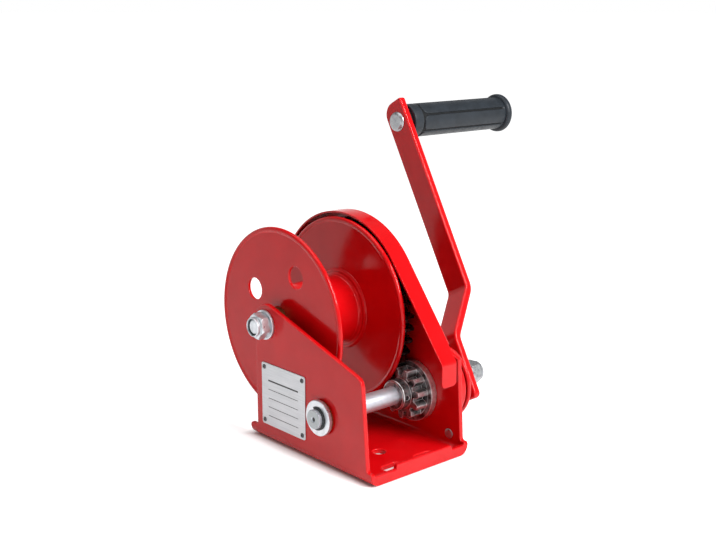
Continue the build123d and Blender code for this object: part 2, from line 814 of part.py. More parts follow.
with BuildPart() as housing_rivet:
    ear_head = plate_out + cup_wall
    add_turned(
        ear_place,
        [
            (plate_in - ear_foot_height, 0),
            (plate_in - ear_foot_height, ear_foot_radius / 2),
            (plate_in - ear_foot_height / 2, ear_foot_radius),
            (plate_in, ear_foot_radius),
            (plate_in, ear_rivet_radius),
            (ear_head, ear_rivet_radius),
            (ear_head, ear_head_radius),
            (ear_head + ear_head_length, ear_head_radius),
            (ear_head + ear_head_length, 0),
        ],
    )
finish(housing_rivet, "housing_rivet")

with BuildPart() as brake_flange:
    add_disc(pinion_axis, brake_start, disc_inner_start, brake_flange_radius)
    add_disc(pinion_axis, brake_start, disc_inner_start, shaft_radius, mode=Mode.SUBTRACT)
finish(brake_flange, "brake_flange")

with BuildPart() as friction_disc_inner:
    add_disc(pinion_axis, disc_inner_start, ratchet_start, friction_radius)
    add_disc(pinion_axis, disc_inner_start, ratchet_start, shaft_radius, mode=Mode.SUBTRACT)
finish(friction_disc_inner, "friction_disc_inner")

with BuildPart() as friction_disc_outer:
    add_disc(pinion_axis, ratchet_end, spigot_start, friction_radius)
    add_disc(pinion_axis, ratchet_end, spigot_start, shaft_radius, mode=Mode.SUBTRACT)
finish(friction_disc_outer, "friction_disc_outer")

with BuildPart() as ratchet_wheel:
    tooth_pitch = 360 / ratchet_teeth
    bush_outer = shaft_radius + running + ratchet_bush_wall
    with BuildSketch(Plane.YZ.offset(ratchet_start + ratchet_side_gap)):
        with BuildLine():
            for index in range(ratchet_teeth):
                face = ratchet_face_angle + index * tooth_pitch
                low = polar(pinion_axis, ratchet_root, face)
                high = polar(pinion_axis, ratchet_tip, face + tooth_pitch)
                halfway = polar(pinion_axis, (ratchet_root + ratchet_tip) / 2, face + tooth_pitch / 2)
                ThreePointArc(low, halfway, high)
                Line(high, polar(pinion_axis, ratchet_root, face + tooth_pitch))
        make_face()
    extrude(amount=ratchet_width - 2 * ratchet_side_gap)
    add_disc(pinion_axis, ratchet_start, ratchet_end, bush_outer, mode=Mode.SUBTRACT)
finish(ratchet_wheel, "ratchet_wheel")

with BuildPart() as ratchet_bush:
    start = ratchet_start + ratchet_side_gap
    end = ratchet_end - ratchet_side_gap
    add_disc(pinion_axis, start, end, bush_outer)
    add_disc(pinion_axis, start, end, shaft_radius + running, mode=Mode.SUBTRACT)
finish(ratchet_bush, "ratchet_bush")

with BuildPart() as crank_hub:
    add_turned(
        pinion_axis,
        [
            (spigot_start, shaft_radius),
            (spigot_start, friction_radius),
            (hub_disc_start, friction_radius),
            (hub_disc_start, cup_radius - edge_break),
            (hub_disc_start + edge_break, cup_radius),
            (hub_boss_start - edge_break, cup_radius),
            (hub_boss_start, cup_radius - edge_break),
            (hub_boss_start, hub_boss_radius + edge_break),
            (hub_boss_start + edge_break, hub_boss_radius),
            (arm_start, hub_boss_radius),
            (arm_start, shaft_radius),
        ],
    )
finish(crank_hub, "crank_hub")

# Pawl, its post and its spring
pawl_plane = Plane(
    origin=(ratchet_start, pawl_pivot_y, pawl_pivot_z),
    x_dir=(0, cos(radians(pawl_angle)), sin(radians(pawl_angle))),
    z_dir=(1, 0, 0),
)

with BuildPart() as pawl:
    with BuildSketch(pawl_plane):
        Circle(pawl_boss_radius)
        with BuildLine():
            Polyline(
                (0, pawl_inset),
                (pawl_end - pawl_nose_length, pawl_inset),
                (pawl_end, pawl_nose),
                (pawl_end, pawl_inset + pawl_depth),
                (pawl_boss_radius, pawl_inset + pawl_depth),
                (0, pawl_boss_radius),
                close=True,
            )
        make_face()
        Circle(pawl_pin_radius + running, mode=Mode.SUBTRACT)
    extrude(amount=ratchet_width)
finish(pawl, "pawl")

post_end = ratchet_start - pawl_side_gap
clip_start = ratchet_end + pawl_side_gap
clip_end = clip_start + pawl_clip_thickness

with BuildPart() as pawl_post:
    add_turned(
        pawl_pivot,
        [
            (plate_in - pawl_rivet_height, 0),
            (plate_in - pawl_rivet_height, pawl_rivet_radius / 2),
            (plate_in - pawl_rivet_height / 2, pawl_rivet_radius),
            (plate_in, pawl_rivet_radius),
            (plate_in, pawl_foot_radius),
            (plate_out, pawl_foot_radius),
            (plate_out, pawl_post_radius),
            (post_end, pawl_post_radius),
            (post_end, pawl_pin_radius),
            (clip_start, pawl_pin_radius),
            (clip_start, pawl_foot_radius),
            (clip_end + pawl_rivet_height, pawl_foot_radius),
            (clip_end + pawl_rivet_height, 0),
        ],
    )
finish(pawl_post, "pawl_post")

with BuildPart() as pawl_clip:
    add_disc(pawl_pivot, clip_start, clip_end, pawl_clip_radius)
    add_disc(pawl_pivot, clip_start, clip_end, pawl_foot_radius, mode=Mode.SUBTRACT)
finish(pawl_clip, "pawl_clip")

spring_radius = pawl_post_radius + spring_seat_gap + spring_wire / 2
spring_pitch = spring_wire + spring_gap
spring_turns = spring_whole_turns + (spring_start - pawl_foot_angle) / 360
spring_rise = spring_turns * spring_pitch
spring_origin = (plate_out + post_end) / 2 - spring_rise / 2


def coil_point(turn):
    """Point of the spring's centre line after a number of turns."""
    y, z = polar(pawl_pivot, spring_radius, spring_start - 360 * turn)
    return Vector(spring_origin + spring_pitch * turn, y, z)


def coil_heading(turn):
    """Direction of the spring's centre line after a number of turns."""
    angle = radians(spring_start - 360 * turn)
    around = 2 * pi * spring_radius
    return Vector(spring_pitch, around * sin(angle), -around * cos(angle)).normalized()


def leg_to_housing():
    """Length of the leg that leans on the brake housing, up to its seat there."""
    start = coil_point(0)
    heading = coil_heading(0)
    across = (start.Y - pinion_axis[0], start.Z - pinion_axis[1])
    along = across[0] * heading.Y + across[1] * heading.Z
    seat = cup_radius + spring_seat_gap + spring_wire
    return along - sqrt(along**2 - across[0] ** 2 - across[1] ** 2 + seat**2)


spans = ceil(2 * spring_turns)
span = spring_turns / spans

with BuildPart() as pawl_spring:
    with BuildLine() as spring_line:
        first_leg = Line(coil_point(0) - coil_heading(0) * leg_to_housing(), coil_point(0))
        for index in range(spans):
            # Two arcs that meet with one tangent stand for each span of the helix
            begin = coil_point(index * span)
            close = coil_point((index + 1) * span)
            heading = coil_heading(index * span)
            leaving = coil_heading((index + 1) * span)
            chord = close - begin
            both = heading + leaving
            bend = 2 * (1 - heading.dot(leaving))
            reach = (sqrt(chord.dot(both) ** 2 + bend * chord.dot(chord)) - chord.dot(both)) / bend
            near = begin + heading * reach
            far = close - leaving * reach
            meeting = (near + far) * 0.5
            TangentArc(begin, meeting, tangent=heading)
            TangentArc(meeting, close, tangent=far - near)
        last = coil_point(spring_turns)
        Line(last, last + coil_heading(spring_turns) * spring_leg)
    with BuildSketch(Plane(origin=first_leg @ 0, z_dir=first_leg % 0)):
        RegularPolygon(spring_wire / 2, spring_sides)
    sweep()
finish(pawl_spring, "pawl_spring")

# The spring's least gap to itself, measured on points half a turn or more apart
samples = 24 * spans
coil_points = [coil_point(spring_turns * i / samples) for i in range(samples + 1)]
apart = samples // spans
least = min(
    (coil_points[i] - coil_points[j]).length for i in range(samples + 1) for j in range(i + apart, samples + 1)
)
print("pawl spring, least gap to itself:", round(least - spring_wire, 2))

# Crank arm and grip
arm_plane = Plane(
    origin=(0, pinion_axis[0], pinion_axis[1]),
    x_dir=(0, sin(radians(arm_lean)), cos(radians(arm_lean))),
    z_dir=(0, cos(radians(arm_lean)), -sin(radians(arm_lean))),
)

with BuildPart() as crank_arm:
    lower = arm_start + arm_thickness / 2
    upper = upper_start + arm_thickness / 2
    with BuildSketch(arm_plane.offset(-arm_width / 2)):
        with BuildLine():
            FilletPolyline(
                (-arm_foot, lower),
                (arm_bend_start, lower),
                (arm_bend_end, upper),
                (arm_length + arm_head, upper),
                radius=arm_bend_radius,
            )
        trace(line_width=arm_thickness)
    extrude(amount=arm_width)
    halves = (-arm_width / 2, arm_width / 2)
    heads = [arm_plane.from_local_coords((arm_length + arm_head, upper, half)) for half in halves]
    front, rear = sorted(heads, key=lambda place: place.Y)
    feet = [arm_plane.from_local_coords((-arm_foot, lower, half)) for half in halves]
    corners = [(front, arm_front_corner), (rear, arm_rear_corner)]
    corners += [(foot, arm_corner) for foot in feet]
    for place, corner in corners:
        fillet(crank_arm.edges().filter_by(Axis.X).sort_by_distance(place)[0], corner)
    add_disc(pinion_axis, arm_start, crank_washer_start, stub_radius, mode=Mode.SUBTRACT)
    add_disc(grip_axis, upper_start, upper_end, pin_radius, mode=Mode.SUBTRACT)
finish(crank_arm, "crank_arm")

with BuildPart() as crank_washer:
    add_disc(pinion_axis, crank_washer_start, crank_nut_start, washer_radius)
    add_disc(pinion_axis, crank_washer_start, crank_nut_start, stub_radius, mode=Mode.SUBTRACT)
finish(crank_washer, "crank_washer")

crank_nut_top = crank_nut_start + nut_height
crank_nut_end = crank_nut_top + nut_collar_height

with BuildPart() as crank_nut:
    add_hexagon(pinion_axis, crank_nut_start, crank_nut_top, 10)
    add_disc(pinion_axis, crank_nut_top, crank_nut_end, nut_collar_radius)
    chamfer(crank_nut.faces().sort_by(Axis.X)[-1].edges(), edge_break)
    add_disc(pinion_axis, crank_nut_start, crank_nut_top, stub_radius, mode=Mode.SUBTRACT)
    add_disc(pinion_axis, crank_nut_top, crank_nut_end, stub_radius + insert_wall, mode=Mode.SUBTRACT)
finish(crank_nut, "crank_nut")

with BuildPart() as crank_nut_insert:
    insert_top = crank_nut_end - edge_break / 2
    add_disc(pinion_axis, crank_nut_top, insert_top, stub_radius + insert_wall)
    add_disc(pinion_axis, crank_nut_top, insert_top, stub_radius, mode=Mode.SUBTRACT)
finish(crank_nut_insert, "crank_nut_insert")

grip_seat = grip_end - pin_recess

with BuildPart() as grip_pin:
    add_turned(
        grip_axis,
        [
            (upper_start - pin_head_height, 0),
            (upper_start - pin_head_height, pin_head_radius - 2 * edge_break),
            (upper_start - pin_head_height / 2, pin_head_radius - edge_break / 2),
            (upper_start, pin_head_radius),
            (upper_start, pin_radius),
            (grip_seat + running, pin_radius),
            (grip_seat + running, pin_end_radius),
            (grip_seat + pin_head_height, pin_end_radius),
            (grip_seat + pin_head_height, 0),
        ],
    )
finish(grip_pin, "grip_pin")

with BuildPart() as grip_washer:
    add_disc(grip_axis, upper_end, grip_start - running, grip_washer_radius)
    add_disc(grip_axis, upper_end, grip_start - running, pin_radius, mode=Mode.SUBTRACT)
finish(grip_washer, "grip_washer")

with BuildPart() as grip:
    with BuildSketch(axle_plane(grip_axis)):
        with BuildLine():
            bead_start = grip_end - grip_end_length
            FilletPolyline(
                (grip_start, 0),
                (grip_start, grip_radius),
                (bead_start - edge_break, grip_radius),
                (bead_start + 2 * edge_break, grip_end_radius),
                (grip_end, grip_end_radius),
                (grip_end, 0),
                radius=(0, edge_break, 0, 0, 2 * edge_break, 0),
                close=True,
            )
        make_face()
    revolve(axis=Axis((0, grip_axis[0], grip_axis[1]), (1, 0, 0)))
    with BuildSketch(Plane.YZ.offset(grip_start + grip_collar)):
        with Locations(grip_axis):
            with PolarLocations(grip_radius, grip_panels, start_angle=panel_turn):
                Rectangle(4 * panel_depth, panel_width)
            Circle(grip_radius - panel_depth, mode=Mode.SUBTRACT)
    extrude(amount=bead_start - edge_break - grip_start - grip_collar, mode=Mode.SUBTRACT)
    add_disc(grip_axis, grip_start, grip_seat, pin_radius + running, mode=Mode.SUBTRACT)
    add_disc(grip_axis, grip_seat, grip_end, pin_end_radius + loose, mode=Mode.SUBTRACT)
finish(grip, "grip")
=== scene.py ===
"""Looks of a hand-cranked brake winch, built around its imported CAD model."""

from __future__ import annotations

import json
import logging
import math
from collections.abc import Callable, Sequence
from dataclasses import dataclass, field
from enum import Enum

import bmesh
import bpy
from mathutils import Matrix, Vector

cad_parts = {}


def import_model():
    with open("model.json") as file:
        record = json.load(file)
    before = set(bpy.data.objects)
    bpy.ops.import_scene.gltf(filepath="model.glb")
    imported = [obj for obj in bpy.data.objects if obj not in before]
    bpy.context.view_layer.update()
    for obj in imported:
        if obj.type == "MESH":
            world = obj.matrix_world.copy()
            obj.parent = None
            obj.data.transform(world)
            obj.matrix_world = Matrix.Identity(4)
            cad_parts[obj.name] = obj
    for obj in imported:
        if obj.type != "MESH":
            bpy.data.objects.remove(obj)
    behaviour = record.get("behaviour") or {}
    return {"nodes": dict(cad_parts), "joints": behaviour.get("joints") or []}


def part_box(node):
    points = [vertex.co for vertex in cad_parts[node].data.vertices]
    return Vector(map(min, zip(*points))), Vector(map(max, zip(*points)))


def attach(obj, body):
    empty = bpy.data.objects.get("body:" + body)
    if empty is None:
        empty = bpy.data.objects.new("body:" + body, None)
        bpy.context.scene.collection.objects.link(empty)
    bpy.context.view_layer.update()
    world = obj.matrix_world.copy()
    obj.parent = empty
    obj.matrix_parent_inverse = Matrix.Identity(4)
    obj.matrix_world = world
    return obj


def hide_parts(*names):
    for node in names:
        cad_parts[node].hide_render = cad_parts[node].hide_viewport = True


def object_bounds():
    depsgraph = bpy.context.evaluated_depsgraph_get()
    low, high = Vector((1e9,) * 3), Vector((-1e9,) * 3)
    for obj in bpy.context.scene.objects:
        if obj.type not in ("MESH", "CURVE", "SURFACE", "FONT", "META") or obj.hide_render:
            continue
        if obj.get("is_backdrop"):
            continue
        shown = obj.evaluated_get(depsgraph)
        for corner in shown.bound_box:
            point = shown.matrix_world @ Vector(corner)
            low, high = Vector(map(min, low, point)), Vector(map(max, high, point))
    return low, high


LOG = logging.getLogger("hand_winch")

Axle = tuple[float, float]
Colour = tuple[float, float, float]
Form = bmesh.types.BMesh
Material = bpy.types.Material
Mesh = bpy.types.Mesh
Place = tuple[float, float, float]
Radius = float | Callable[[float], float]
Ring = tuple[float, Radius]
Socket = bpy.types.NodeSocket
Span = tuple[float, float]

MM = 0.001
WHITE: Colour = (1.0, 1.0, 1.0)

# Points closer together than this are merged
WELD = 1e-6

# Spans that values are mapped from or to
RISING: Span = (0.0, 1.0)
FALLING: Span = (1.0, 0.0)
MIDDLE: Span = (0.3, 0.7)

# Mesh attributes that finishes read
EDGE = "edge"
CREASE = "crease"


class Body(str, Enum):
    """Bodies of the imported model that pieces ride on."""

    FRAME = "frame"
    DRUM = "drum"
    DRIVE = "drive"
    RATCHET = "ratchet"
    PAWL = "pawl"
    GRIP = "grip"


class Slot(str, Enum):
    """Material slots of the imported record."""

    RED_PAINT = "red_paint"
    ZINC = "zinc"
    STEEL = "steel"
    BLACK_STEEL = "black_steel"
    BRONZE = "bronze"
    LABEL = "label_aluminium"
    FRICTION = "friction"
    NYLON = "nylon"
    GRIP_RUBBER = "grip_rubber"


@dataclass(frozen=True)
class Noise:
    """Soft noise: size of its patches in metres, octaves of finer noise, and stretch along each axis."""

    size: float
    detail: float = 2.0
    stretch: Place | None = None


TOOL_MARKS = Noise(0.7 * MM, 2.0, (0.08, 1.0, 1.0))


class NodeGraph:
    """Node tree with short ways to add nodes, join them and reckon with their values."""

    def __init__(self, tree: bpy.types.NodeTree) -> None:
        """Starts on a node tree."""
        self.tree = tree

    def add(self, kind: str) -> bpy.types.Node:
        """Adds a node of a kind."""
        return self.tree.nodes.new(kind)

    def join(self, source: Socket, target: Socket) -> None:
        """Links two sockets."""
        self.tree.links.new(source, target)

    def feed(self, target: Socket, value: Socket | float | Colour) -> None:
        """Links a socket to a target, or sets the target to a constant.

        Args:
            target: The input that is fed.
            value: A socket, a number or a colour.
        """
        if isinstance(value, Socket):
            self.join(value, target)
        elif isinstance(value, tuple):
            target.default_value = (*value, 1.0)
        else:
            target.default_value = value

    def calculate(self, operation: str, first: Socket | float, second: Socket | float = 0.0) -> Socket:
        """One step of arithmetic.

        Args:
            operation: Name of the Math node's operation.
            first: First value.
            second: Second value, where the operation has one.

        Returns:
            The result.
        """
        node = self.add("ShaderNodeMath")
        node.operation = operation
        self.feed(node.inputs[0], first)
        self.feed(node.inputs[1], second)
        return node.outputs[0]

    def spread(self, value: Socket, span: Span, over: Span = MIDDLE) -> Socket:
        """Maps a span of a value to another span, clamped.

        Args:
            value: What is mapped.
            span: Results at the start and at the end.
            over: Values at the start and at the end.

        Returns:
            The mapped value.
        """
        node = self.add("ShaderNodeMapRange")
        self.join(value, node.inputs["Value"])
        for name, number in zip(("From Min", "From Max", "To Min", "To Max"), (*over, *span)):
            node.inputs[name].default_value = number
        return node.outputs["Result"]


class ShaderGraph(NodeGraph):
    """Node tree of one finish, round a Principled shader."""

    def __init__(self, name: str) -> None:
        """Starts a material that reads Object coordinates.

        Args:
            name: The material's name.
        """
        self.material = bpy.data.materials.new(name)
        self.material.use_nodes = True
        super().__init__(self.material.node_tree)
        self.tree.nodes.clear()
        output = self.add("ShaderNodeOutputMaterial")
        self.shader = self.add("ShaderNodeBsdfPrincipled")
        self.join(self.shader.outputs["BSDF"], output.inputs["Surface"])
        self.place = self.add("ShaderNodeTexCoord").outputs["Object"]

    def set(self, socket: str, value: Socket | float | Colour) -> None:
        """Feeds an input of the Principled shader."""
        self.feed(self.shader.inputs[socket], value)

    def mapped(self, shift: Place = (0.0, 0.0, 0.0), scale: Place = (1.0, 1.0, 1.0)) -> Socket:
        """Object coordinates, stretched and then shifted.

        Args:
            shift: What is added to the stretched coordinates, in metres.
            scale: Stretch along each axis.

        Returns:
            The mapped vector.
        """
        node = self.add("ShaderNodeMapping")
        node.inputs["Location"].default_value = shift
        node.inputs["Scale"].default_value = scale
        self.join(self.place, node.inputs["Vector"])
        return node.outputs["Vector"]

    def noise(self, kind: Noise) -> Socket:
        """Soft noise from 0 to 1.

        Args:
            kind: What the noise is like.

        Returns:
            The noise.
        """
        node = self.add("ShaderNodeTexNoise")
        node.inputs["Scale"].default_value = 1.0 / kind.size
        node.inputs["Detail"].default_value = kind.detail
        vector = self.mapped(scale=kind.stretch) if kind.stretch else self.place
        self.join(vector, node.inputs["Vector"])
        return node.outputs[0]

    def patches(self, kind: Noise, span: Span = RISING, over: Span = MIDDLE) -> Socket:
        """Soft noise, of which one span is mapped to another."""
        return self.spread(self.noise(kind), span, over)

    def blend(self, factor: Socket, first: Socket | Colour, second: Socket | Colour) -> Socket:
        """Blends two colours.

        Args:
            factor: Share of the second colour.
            first: Colour where the factor is 0.
            second: Colour where the factor is 1.

        Returns:
            The blended colour.
        """
        node = self.add("ShaderNodeMix")
        node.data_type = "RGBA"
        sockets = {socket.identifier: socket for socket in node.inputs}
        self.feed(sockets["Factor_Float"], factor)
        self.feed(sockets["A_Color"], first)
        self.feed(sockets["B_Color"], second)
        return next(socket for socket in node.outputs if socket.identifier == "Result_Color")

    def attribute(self, name: str) -> Socket:
        """Value of a mesh attribute.

        Args:
            name: The attribute's name.

        Returns:
            The value.
        """
        node = self.add("ShaderNodeAttribute")
        node.attribute_name = name
        return node.outputs["Fac"]

    def emboss(self, height: Socket, depth: float, under: Socket | None = None) -> Socket:
        """Bump from a height, laid over another bump where there is one.

        Args:
            height: Height from 0 to 1.
            depth: Height of the full span, in metres.
            under: Normal that this bump is laid over.

        Returns:
            The bumped normal.
        """
        node = self.add("ShaderNodeBump")
        node.inputs["Distance"].default_value = depth
        self.join(height, node.inputs["Height"])
        if under is not None:
            self.join(under, node.inputs["Normal"])
        return node.outputs["Normal"]

    def radius_about(self, axis: Axle) -> tuple[Socket, Socket]:
        """Station along an axle and distance from it.

        Args:
            axis: Y and Z of an axle along X.

        Returns:
            The station and the radius.
        """
        node = self.add("ShaderNodeSeparateXYZ")
        self.join(self.mapped(shift=(0.0, -axis[0], -axis[1])), node.inputs["Vector"])
        squares = [self.calculate("MULTIPLY", node.outputs[way], node.outputs[way]) for way in "YZ"]
        return node.outputs["X"], self.calculate("SQRT", self.calculate("ADD", *squares))


@dataclass(frozen=True)
class Finish:
    """A surface finish, which makes its material on first use."""

    name: str
    slot: Slot

    def material(self) -> Material:
        """The finish's material.

        Returns:
            The material.
        """
        known = bpy.data.materials.get(self.name)
        if known is not None:
            return known
        graph = ShaderGraph(self.name)
        self.paint(graph)
        return graph.material

    def paint(self, graph: ShaderGraph) -> None:
        """Builds the finish's nodes in a material's graph."""
        raise NotImplementedError


@dataclass(frozen=True)
class PowderCoat(Finish):
    """Glossy powder coat with an orange peel, slow waves of the sheet under it, and a painted highlight of
    lighter red on its rounded edges.
    """

    colour: Colour = (0.66, 0.0030, 0.0055)
    deep: Colour = (0.59, 0.0020, 0.0040)
    # Lighter red, painted on the rounded edges as a highlight
    edge: Colour = (0.78, 0.014, 0.018)
    clouds: Noise = Noise(22 * MM, 3.0)
    # Patches that break up the painted edge highlight
    edge_patches: Noise = Noise(5 * MM)
    patchy: Span = (0.35, 0.8)
    smears: Noise = Noise(9 * MM, 4.0)
    roughness: Span = (0.10, 0.20)
    specular: float = 0.27
    waves: Noise = Noise(30 * MM, 1.0)
    wave_depth: float = 0.10 * MM
    peel: Noise = Noise(1.8 * MM, 1.0)
    peel_depth: float = 0.006 * MM

    def paint(self, graph: ShaderGraph) -> None:
        """Builds the coat's nodes.

        Args:
            graph: The material's graph.
        """
        body = graph.blend(graph.patches(self.clouds), self.deep, self.colour)
        # Painted highlight: lighter red on the rounded edges, in patches
        thin = graph.calculate("MULTIPLY", graph.attribute(EDGE), graph.patches(self.edge_patches, self.patchy))
        graph.set("Base Color", graph.blend(thin, body, self.edge))
        graph.set("Roughness", graph.patches(self.smears, self.roughness))
        graph.set("Specular IOR Level", self.specular)
        waves = graph.emboss(graph.noise(self.waves), self.wave_depth)
        graph.set("Normal", graph.emboss(graph.noise(self.peel), self.peel_depth, waves))


@dataclass(frozen=True)
class TurnedMetal(Finish):
    """Metal turned on a lathe: fine rings about its axle, slight stains, duller end faces, and painted shade
    for a centre hole on the axle.
    """

    axis: Axle
    faces: Span
    colour: Colour = (0.55, 0.59, 0.64)
    stain: Colour = (0.46, 0.49, 0.53)
    faced: Colour = (0.34, 0.36, 0.37)
    face_depth: Span = (0.1 * MM, 0.4 * MM)
    # Near-black painted shade standing for a centre-drilled hole on the axle
    centre_hole_shade: Colour = (0.05, 0.05, 0.05)
    centre_hole_shade_radius: Span = (1.5 * MM, 1.95 * MM)
    stains: Noise = Noise(6 * MM, 4.0)
    stained: Span = (0.45, 0.75)
    smears: Noise = Noise(3 * MM, 3.0)
    roughness: Span = (0.38, 0.54)
    metallic: float = 0.8
    ring_pitch: float = 0.45 * MM
    ring_depth: float = 0.0006 * MM

    def paint(self, graph: ShaderGraph) -> None:
        """Builds the metal's nodes.

        Args:
            graph: The material's graph.
        """
        station, radius = graph.radius_about(self.axis)
        run = graph.calculate("ADD", station, radius)
        phase = graph.calculate("MULTIPLY", run, 2 * math.pi / self.ring_pitch)
        rings = graph.spread(graph.calculate("SINE", phase), RISING, (-1.0, 1.0))
        thin, thick = self.face_depth
        near = graph.spread(station, FALLING, (self.faces[0] + thin, self.faces[0] + thick))
        far = graph.spread(station, RISING, (self.faces[1] - thick, self.faces[1] - thin))
        skin = graph.blend(graph.patches(self.stains, RISING, self.stained), self.colour, self.stain)
        skin = graph.blend(graph.calculate("MAXIMUM", near, far), skin, self.faced)
        # Painted shade: the end face is painted near black close to the axle, for the centre hole
        centre_hole_shade_share = graph.spread(radius, FALLING, self.centre_hole_shade_radius)
        graph.set("Base Color", graph.blend(centre_hole_shade_share, skin, self.centre_hole_shade))
        graph.set("Metallic", self.metallic)
        graph.set("Roughness", graph.patches(self.smears, self.roughness))
        graph.set("Normal", graph.emboss(rings, self.ring_depth))


@dataclass(frozen=True)
class CutSteel(Finish):
    """Machined steel with a film of dark grease in patches."""

    colour: Colour
    grease: Colour
    greasy: Span
    film: Noise = Noise(7 * MM, 4.0)
    roughness: Span = (0.34, 0.255)
    metallic: float = 1.0
    mark_depth: float = 0.008 * MM

    def paint(self, graph: ShaderGraph) -> None:
        """Builds the steel's nodes.

        Args:
            graph: The material's graph.
        """
        film = graph.patches(self.film, RISING, self.greasy)
        graph.set("Base Color", graph.blend(film, self.colour, self.grease))
        graph.set("Metallic", self.metallic)
        graph.set("Roughness", graph.spread(film, self.roughness, RISING))
        graph.set("Normal", graph.emboss(graph.noise(TOOL_MARKS), self.mark_depth))


@dataclass(frozen=True)
class RunPinion(Finish):
    """Pinion steel with patches of dark grease, painted lighter on its tips, rims and rounded edges, partly
    as rubbing from running and partly as a painted highlight.
    """

    axis: Axle
    tip: float = 20.86 * MM
    rim: float = 25.2 * MM
    rub_start: Span = (-0.9 * MM, -0.45 * MM)
    rub_end: Span = (0.1125 * MM, 0.225 * MM)
    colour: Colour = (0.33, 0.33, 0.335)
    # Lighter steel for tips, rims and edges: partly rubbing, partly a painted highlight
    rubbed: Colour = (0.78, 0.78, 0.79)
    grease: Colour = (0.055, 0.054, 0.053)
    film: Noise = Noise(6 * MM, 4.0)
    greasy: Span = (0.42, 0.62)
    edge_patches: Noise = Noise(2 * MM, 3.0)
    patchy: Span = (0.6, 1.0)
    smears: Noise = Noise(3 * MM)
    roughness: Span = (0.28, 0.42)
    metallic: float = 0.9
    mark_depth: float = 0.006 * MM

    def paint(self, graph: ShaderGraph) -> None:
        """Builds the steel's nodes.

        Args:
            graph: The material's graph.
        """
        radius = graph.radius_about(self.axis)[1]
        body = graph.blend(graph.patches(self.film, RISING, self.greasy), self.colour, self.grease)
        # Tips, rims and rounded edges are painted lighter, partly as rubbing and partly as a painted
        # highlight
        bright = graph.attribute(EDGE)
        for crest in (self.tip, self.rim):
            rise = graph.spread(radius, RISING, (crest + self.rub_start[0], crest + self.rub_start[1]))
            fall = graph.spread(radius, FALLING, (crest + self.rub_end[0], crest + self.rub_end[1]))
            bright = graph.calculate("MAXIMUM", bright, graph.calculate("MULTIPLY", rise, fall))
        patchy = graph.calculate("MULTIPLY", bright, graph.patches(self.edge_patches, self.patchy))
        graph.set("Base Color", graph.blend(patchy, body, self.rubbed))
        graph.set("Metallic", self.metallic)
        graph.set("Roughness", graph.patches(self.smears, self.roughness))
        graph.set("Normal", graph.emboss(graph.noise(TOOL_MARKS), self.mark_depth))


@dataclass(frozen=True)
class Mottled(Finish):
    """Skin of two colours in patches, with smears in its shine and fine dimples."""

    colour: Colour
    patch: Colour
    mottle: Noise
    mottled: Span
    metallic: float
    smears: Noise
    roughness: Span
    dimples: Noise | None
    dimple_depth: float

    def paint(self, graph: ShaderGraph) -> None:
        """Builds the skin's nodes. Where it has no dimples of its own, its patches are raised.

        Args:
            graph: The material's graph.
        """
        patches = graph.patches(self.mottle, RISING, self.mottled)
        height = patches if self.dimples is None else graph.noise(self.dimples)
        graph.set("Base Color", graph.blend(patches, self.colour, self.patch))
        graph.set("Metallic", self.metallic)
        graph.set("Roughness", graph.patches(self.smears, self.roughness))
        graph.set("Normal", graph.emboss(height, self.dimple_depth))


@dataclass(frozen=True)
class ZincPlate(Mottled):
    """Bright zinc plate: pale, a little cloudy, with a fine dimpled skin."""

    colour: Colour = (0.66, 0.68, 0.71)
    patch: Colour = (0.52, 0.54, 0.57)
    mottle: Noise = Noise(4 * MM, 4.0)
    mottled: Span = MIDDLE
    metallic: float = 0.8
    smears: Noise = Noise(2.5 * MM, 3.0)
    roughness: Span = (0.27, 0.44)
    dimples: Noise | None = Noise(0.9 * MM)
    dimple_depth: float = 0.004 * MM


@dataclass(frozen=True)
class BlackSteel(Mottled):
    """Spring steel with a black phosphate skin, rubbed in places."""

    colour: Colour = (0.022, 0.023, 0.025)
    patch: Colour = (0.09, 0.09, 0.095)
    mottle: Noise = Noise(2.5 * MM, 4.0)
    mottled: Span = (0.5, 0.8)
    metallic: float = 0.6
    smears: Noise = Noise(1.2 * MM, 3.0)
    roughness: Span = (0.32, 0.5)
    dimples: Noise | None = Noise(0.4 * MM)
    dimple_depth: float = 0.004 * MM


@dataclass(frozen=True)
class BearingBronze(Mottled):
    """Porous bearing bronze with oil in its pores."""

    colour: Colour = (0.30, 0.18, 0.07)
    patch: Colour = (0.52, 0.34, 0.15)
    mottle: Noise = Noise(0.6 * MM, 3.0)
    mottled: Span = (0.4, 0.65)
    metallic: float = 1.0
    smears: Noise = Noise(3 * MM)
    roughness: Span = (0.28, 0.42)
    dimples: Noise | None = None
    dimple_depth: float = 0.01 * MM


@dataclass(frozen=True)
class MouldedPlastic(Mottled):
    """Moulded plastic, pressed lining or ink with fine flecks."""

    colour: Colour = (0.02, 0.035, 0.04)
    patch: Colour = (0.04, 0.06, 0.07)
    mottle: Noise = Noise(0.8 * MM, 3.0)
    mottled: Span = (0.5, 0.7)
    metallic: float = 0.0
    smears: Noise = Noise(2 * MM)
    roughness: Span = (0.34, 0.52)
    dimples: Noise | None = None
    dimple_depth: float = 0.006 * MM


@dataclass(frozen=True)
class SatinAluminium(Finish):
    """Aluminium sheet with a satin grain along Y."""

    colour: Colour = (0.60, 0.61, 0.63)
    shade: Colour = (0.49, 0.50, 0.52)
    grain: Noise = Noise(0.35 * MM, 3.0, (1.0, 0.02, 1.0))
    grain_depth: float = 0.003 * MM
    smears: Noise = Noise(12 * MM, 3.0)
    roughness: Span = (0.34, 0.46)
    metallic: float = 0.55

    def paint(self, graph: ShaderGraph) -> None:
        """Builds the sheet's nodes.

        Args:
            graph: The material's graph.
        """
        lines = graph.noise(self.grain)
        graph.set("Base Color", graph.blend(graph.spread(lines, RISING), self.colour, self.shade))
        graph.set("Metallic", self.metallic)
        graph.set("Roughness", graph.patches(self.smears, self.roughness))
        graph.set("Normal", graph.emboss(lines, self.grain_depth))


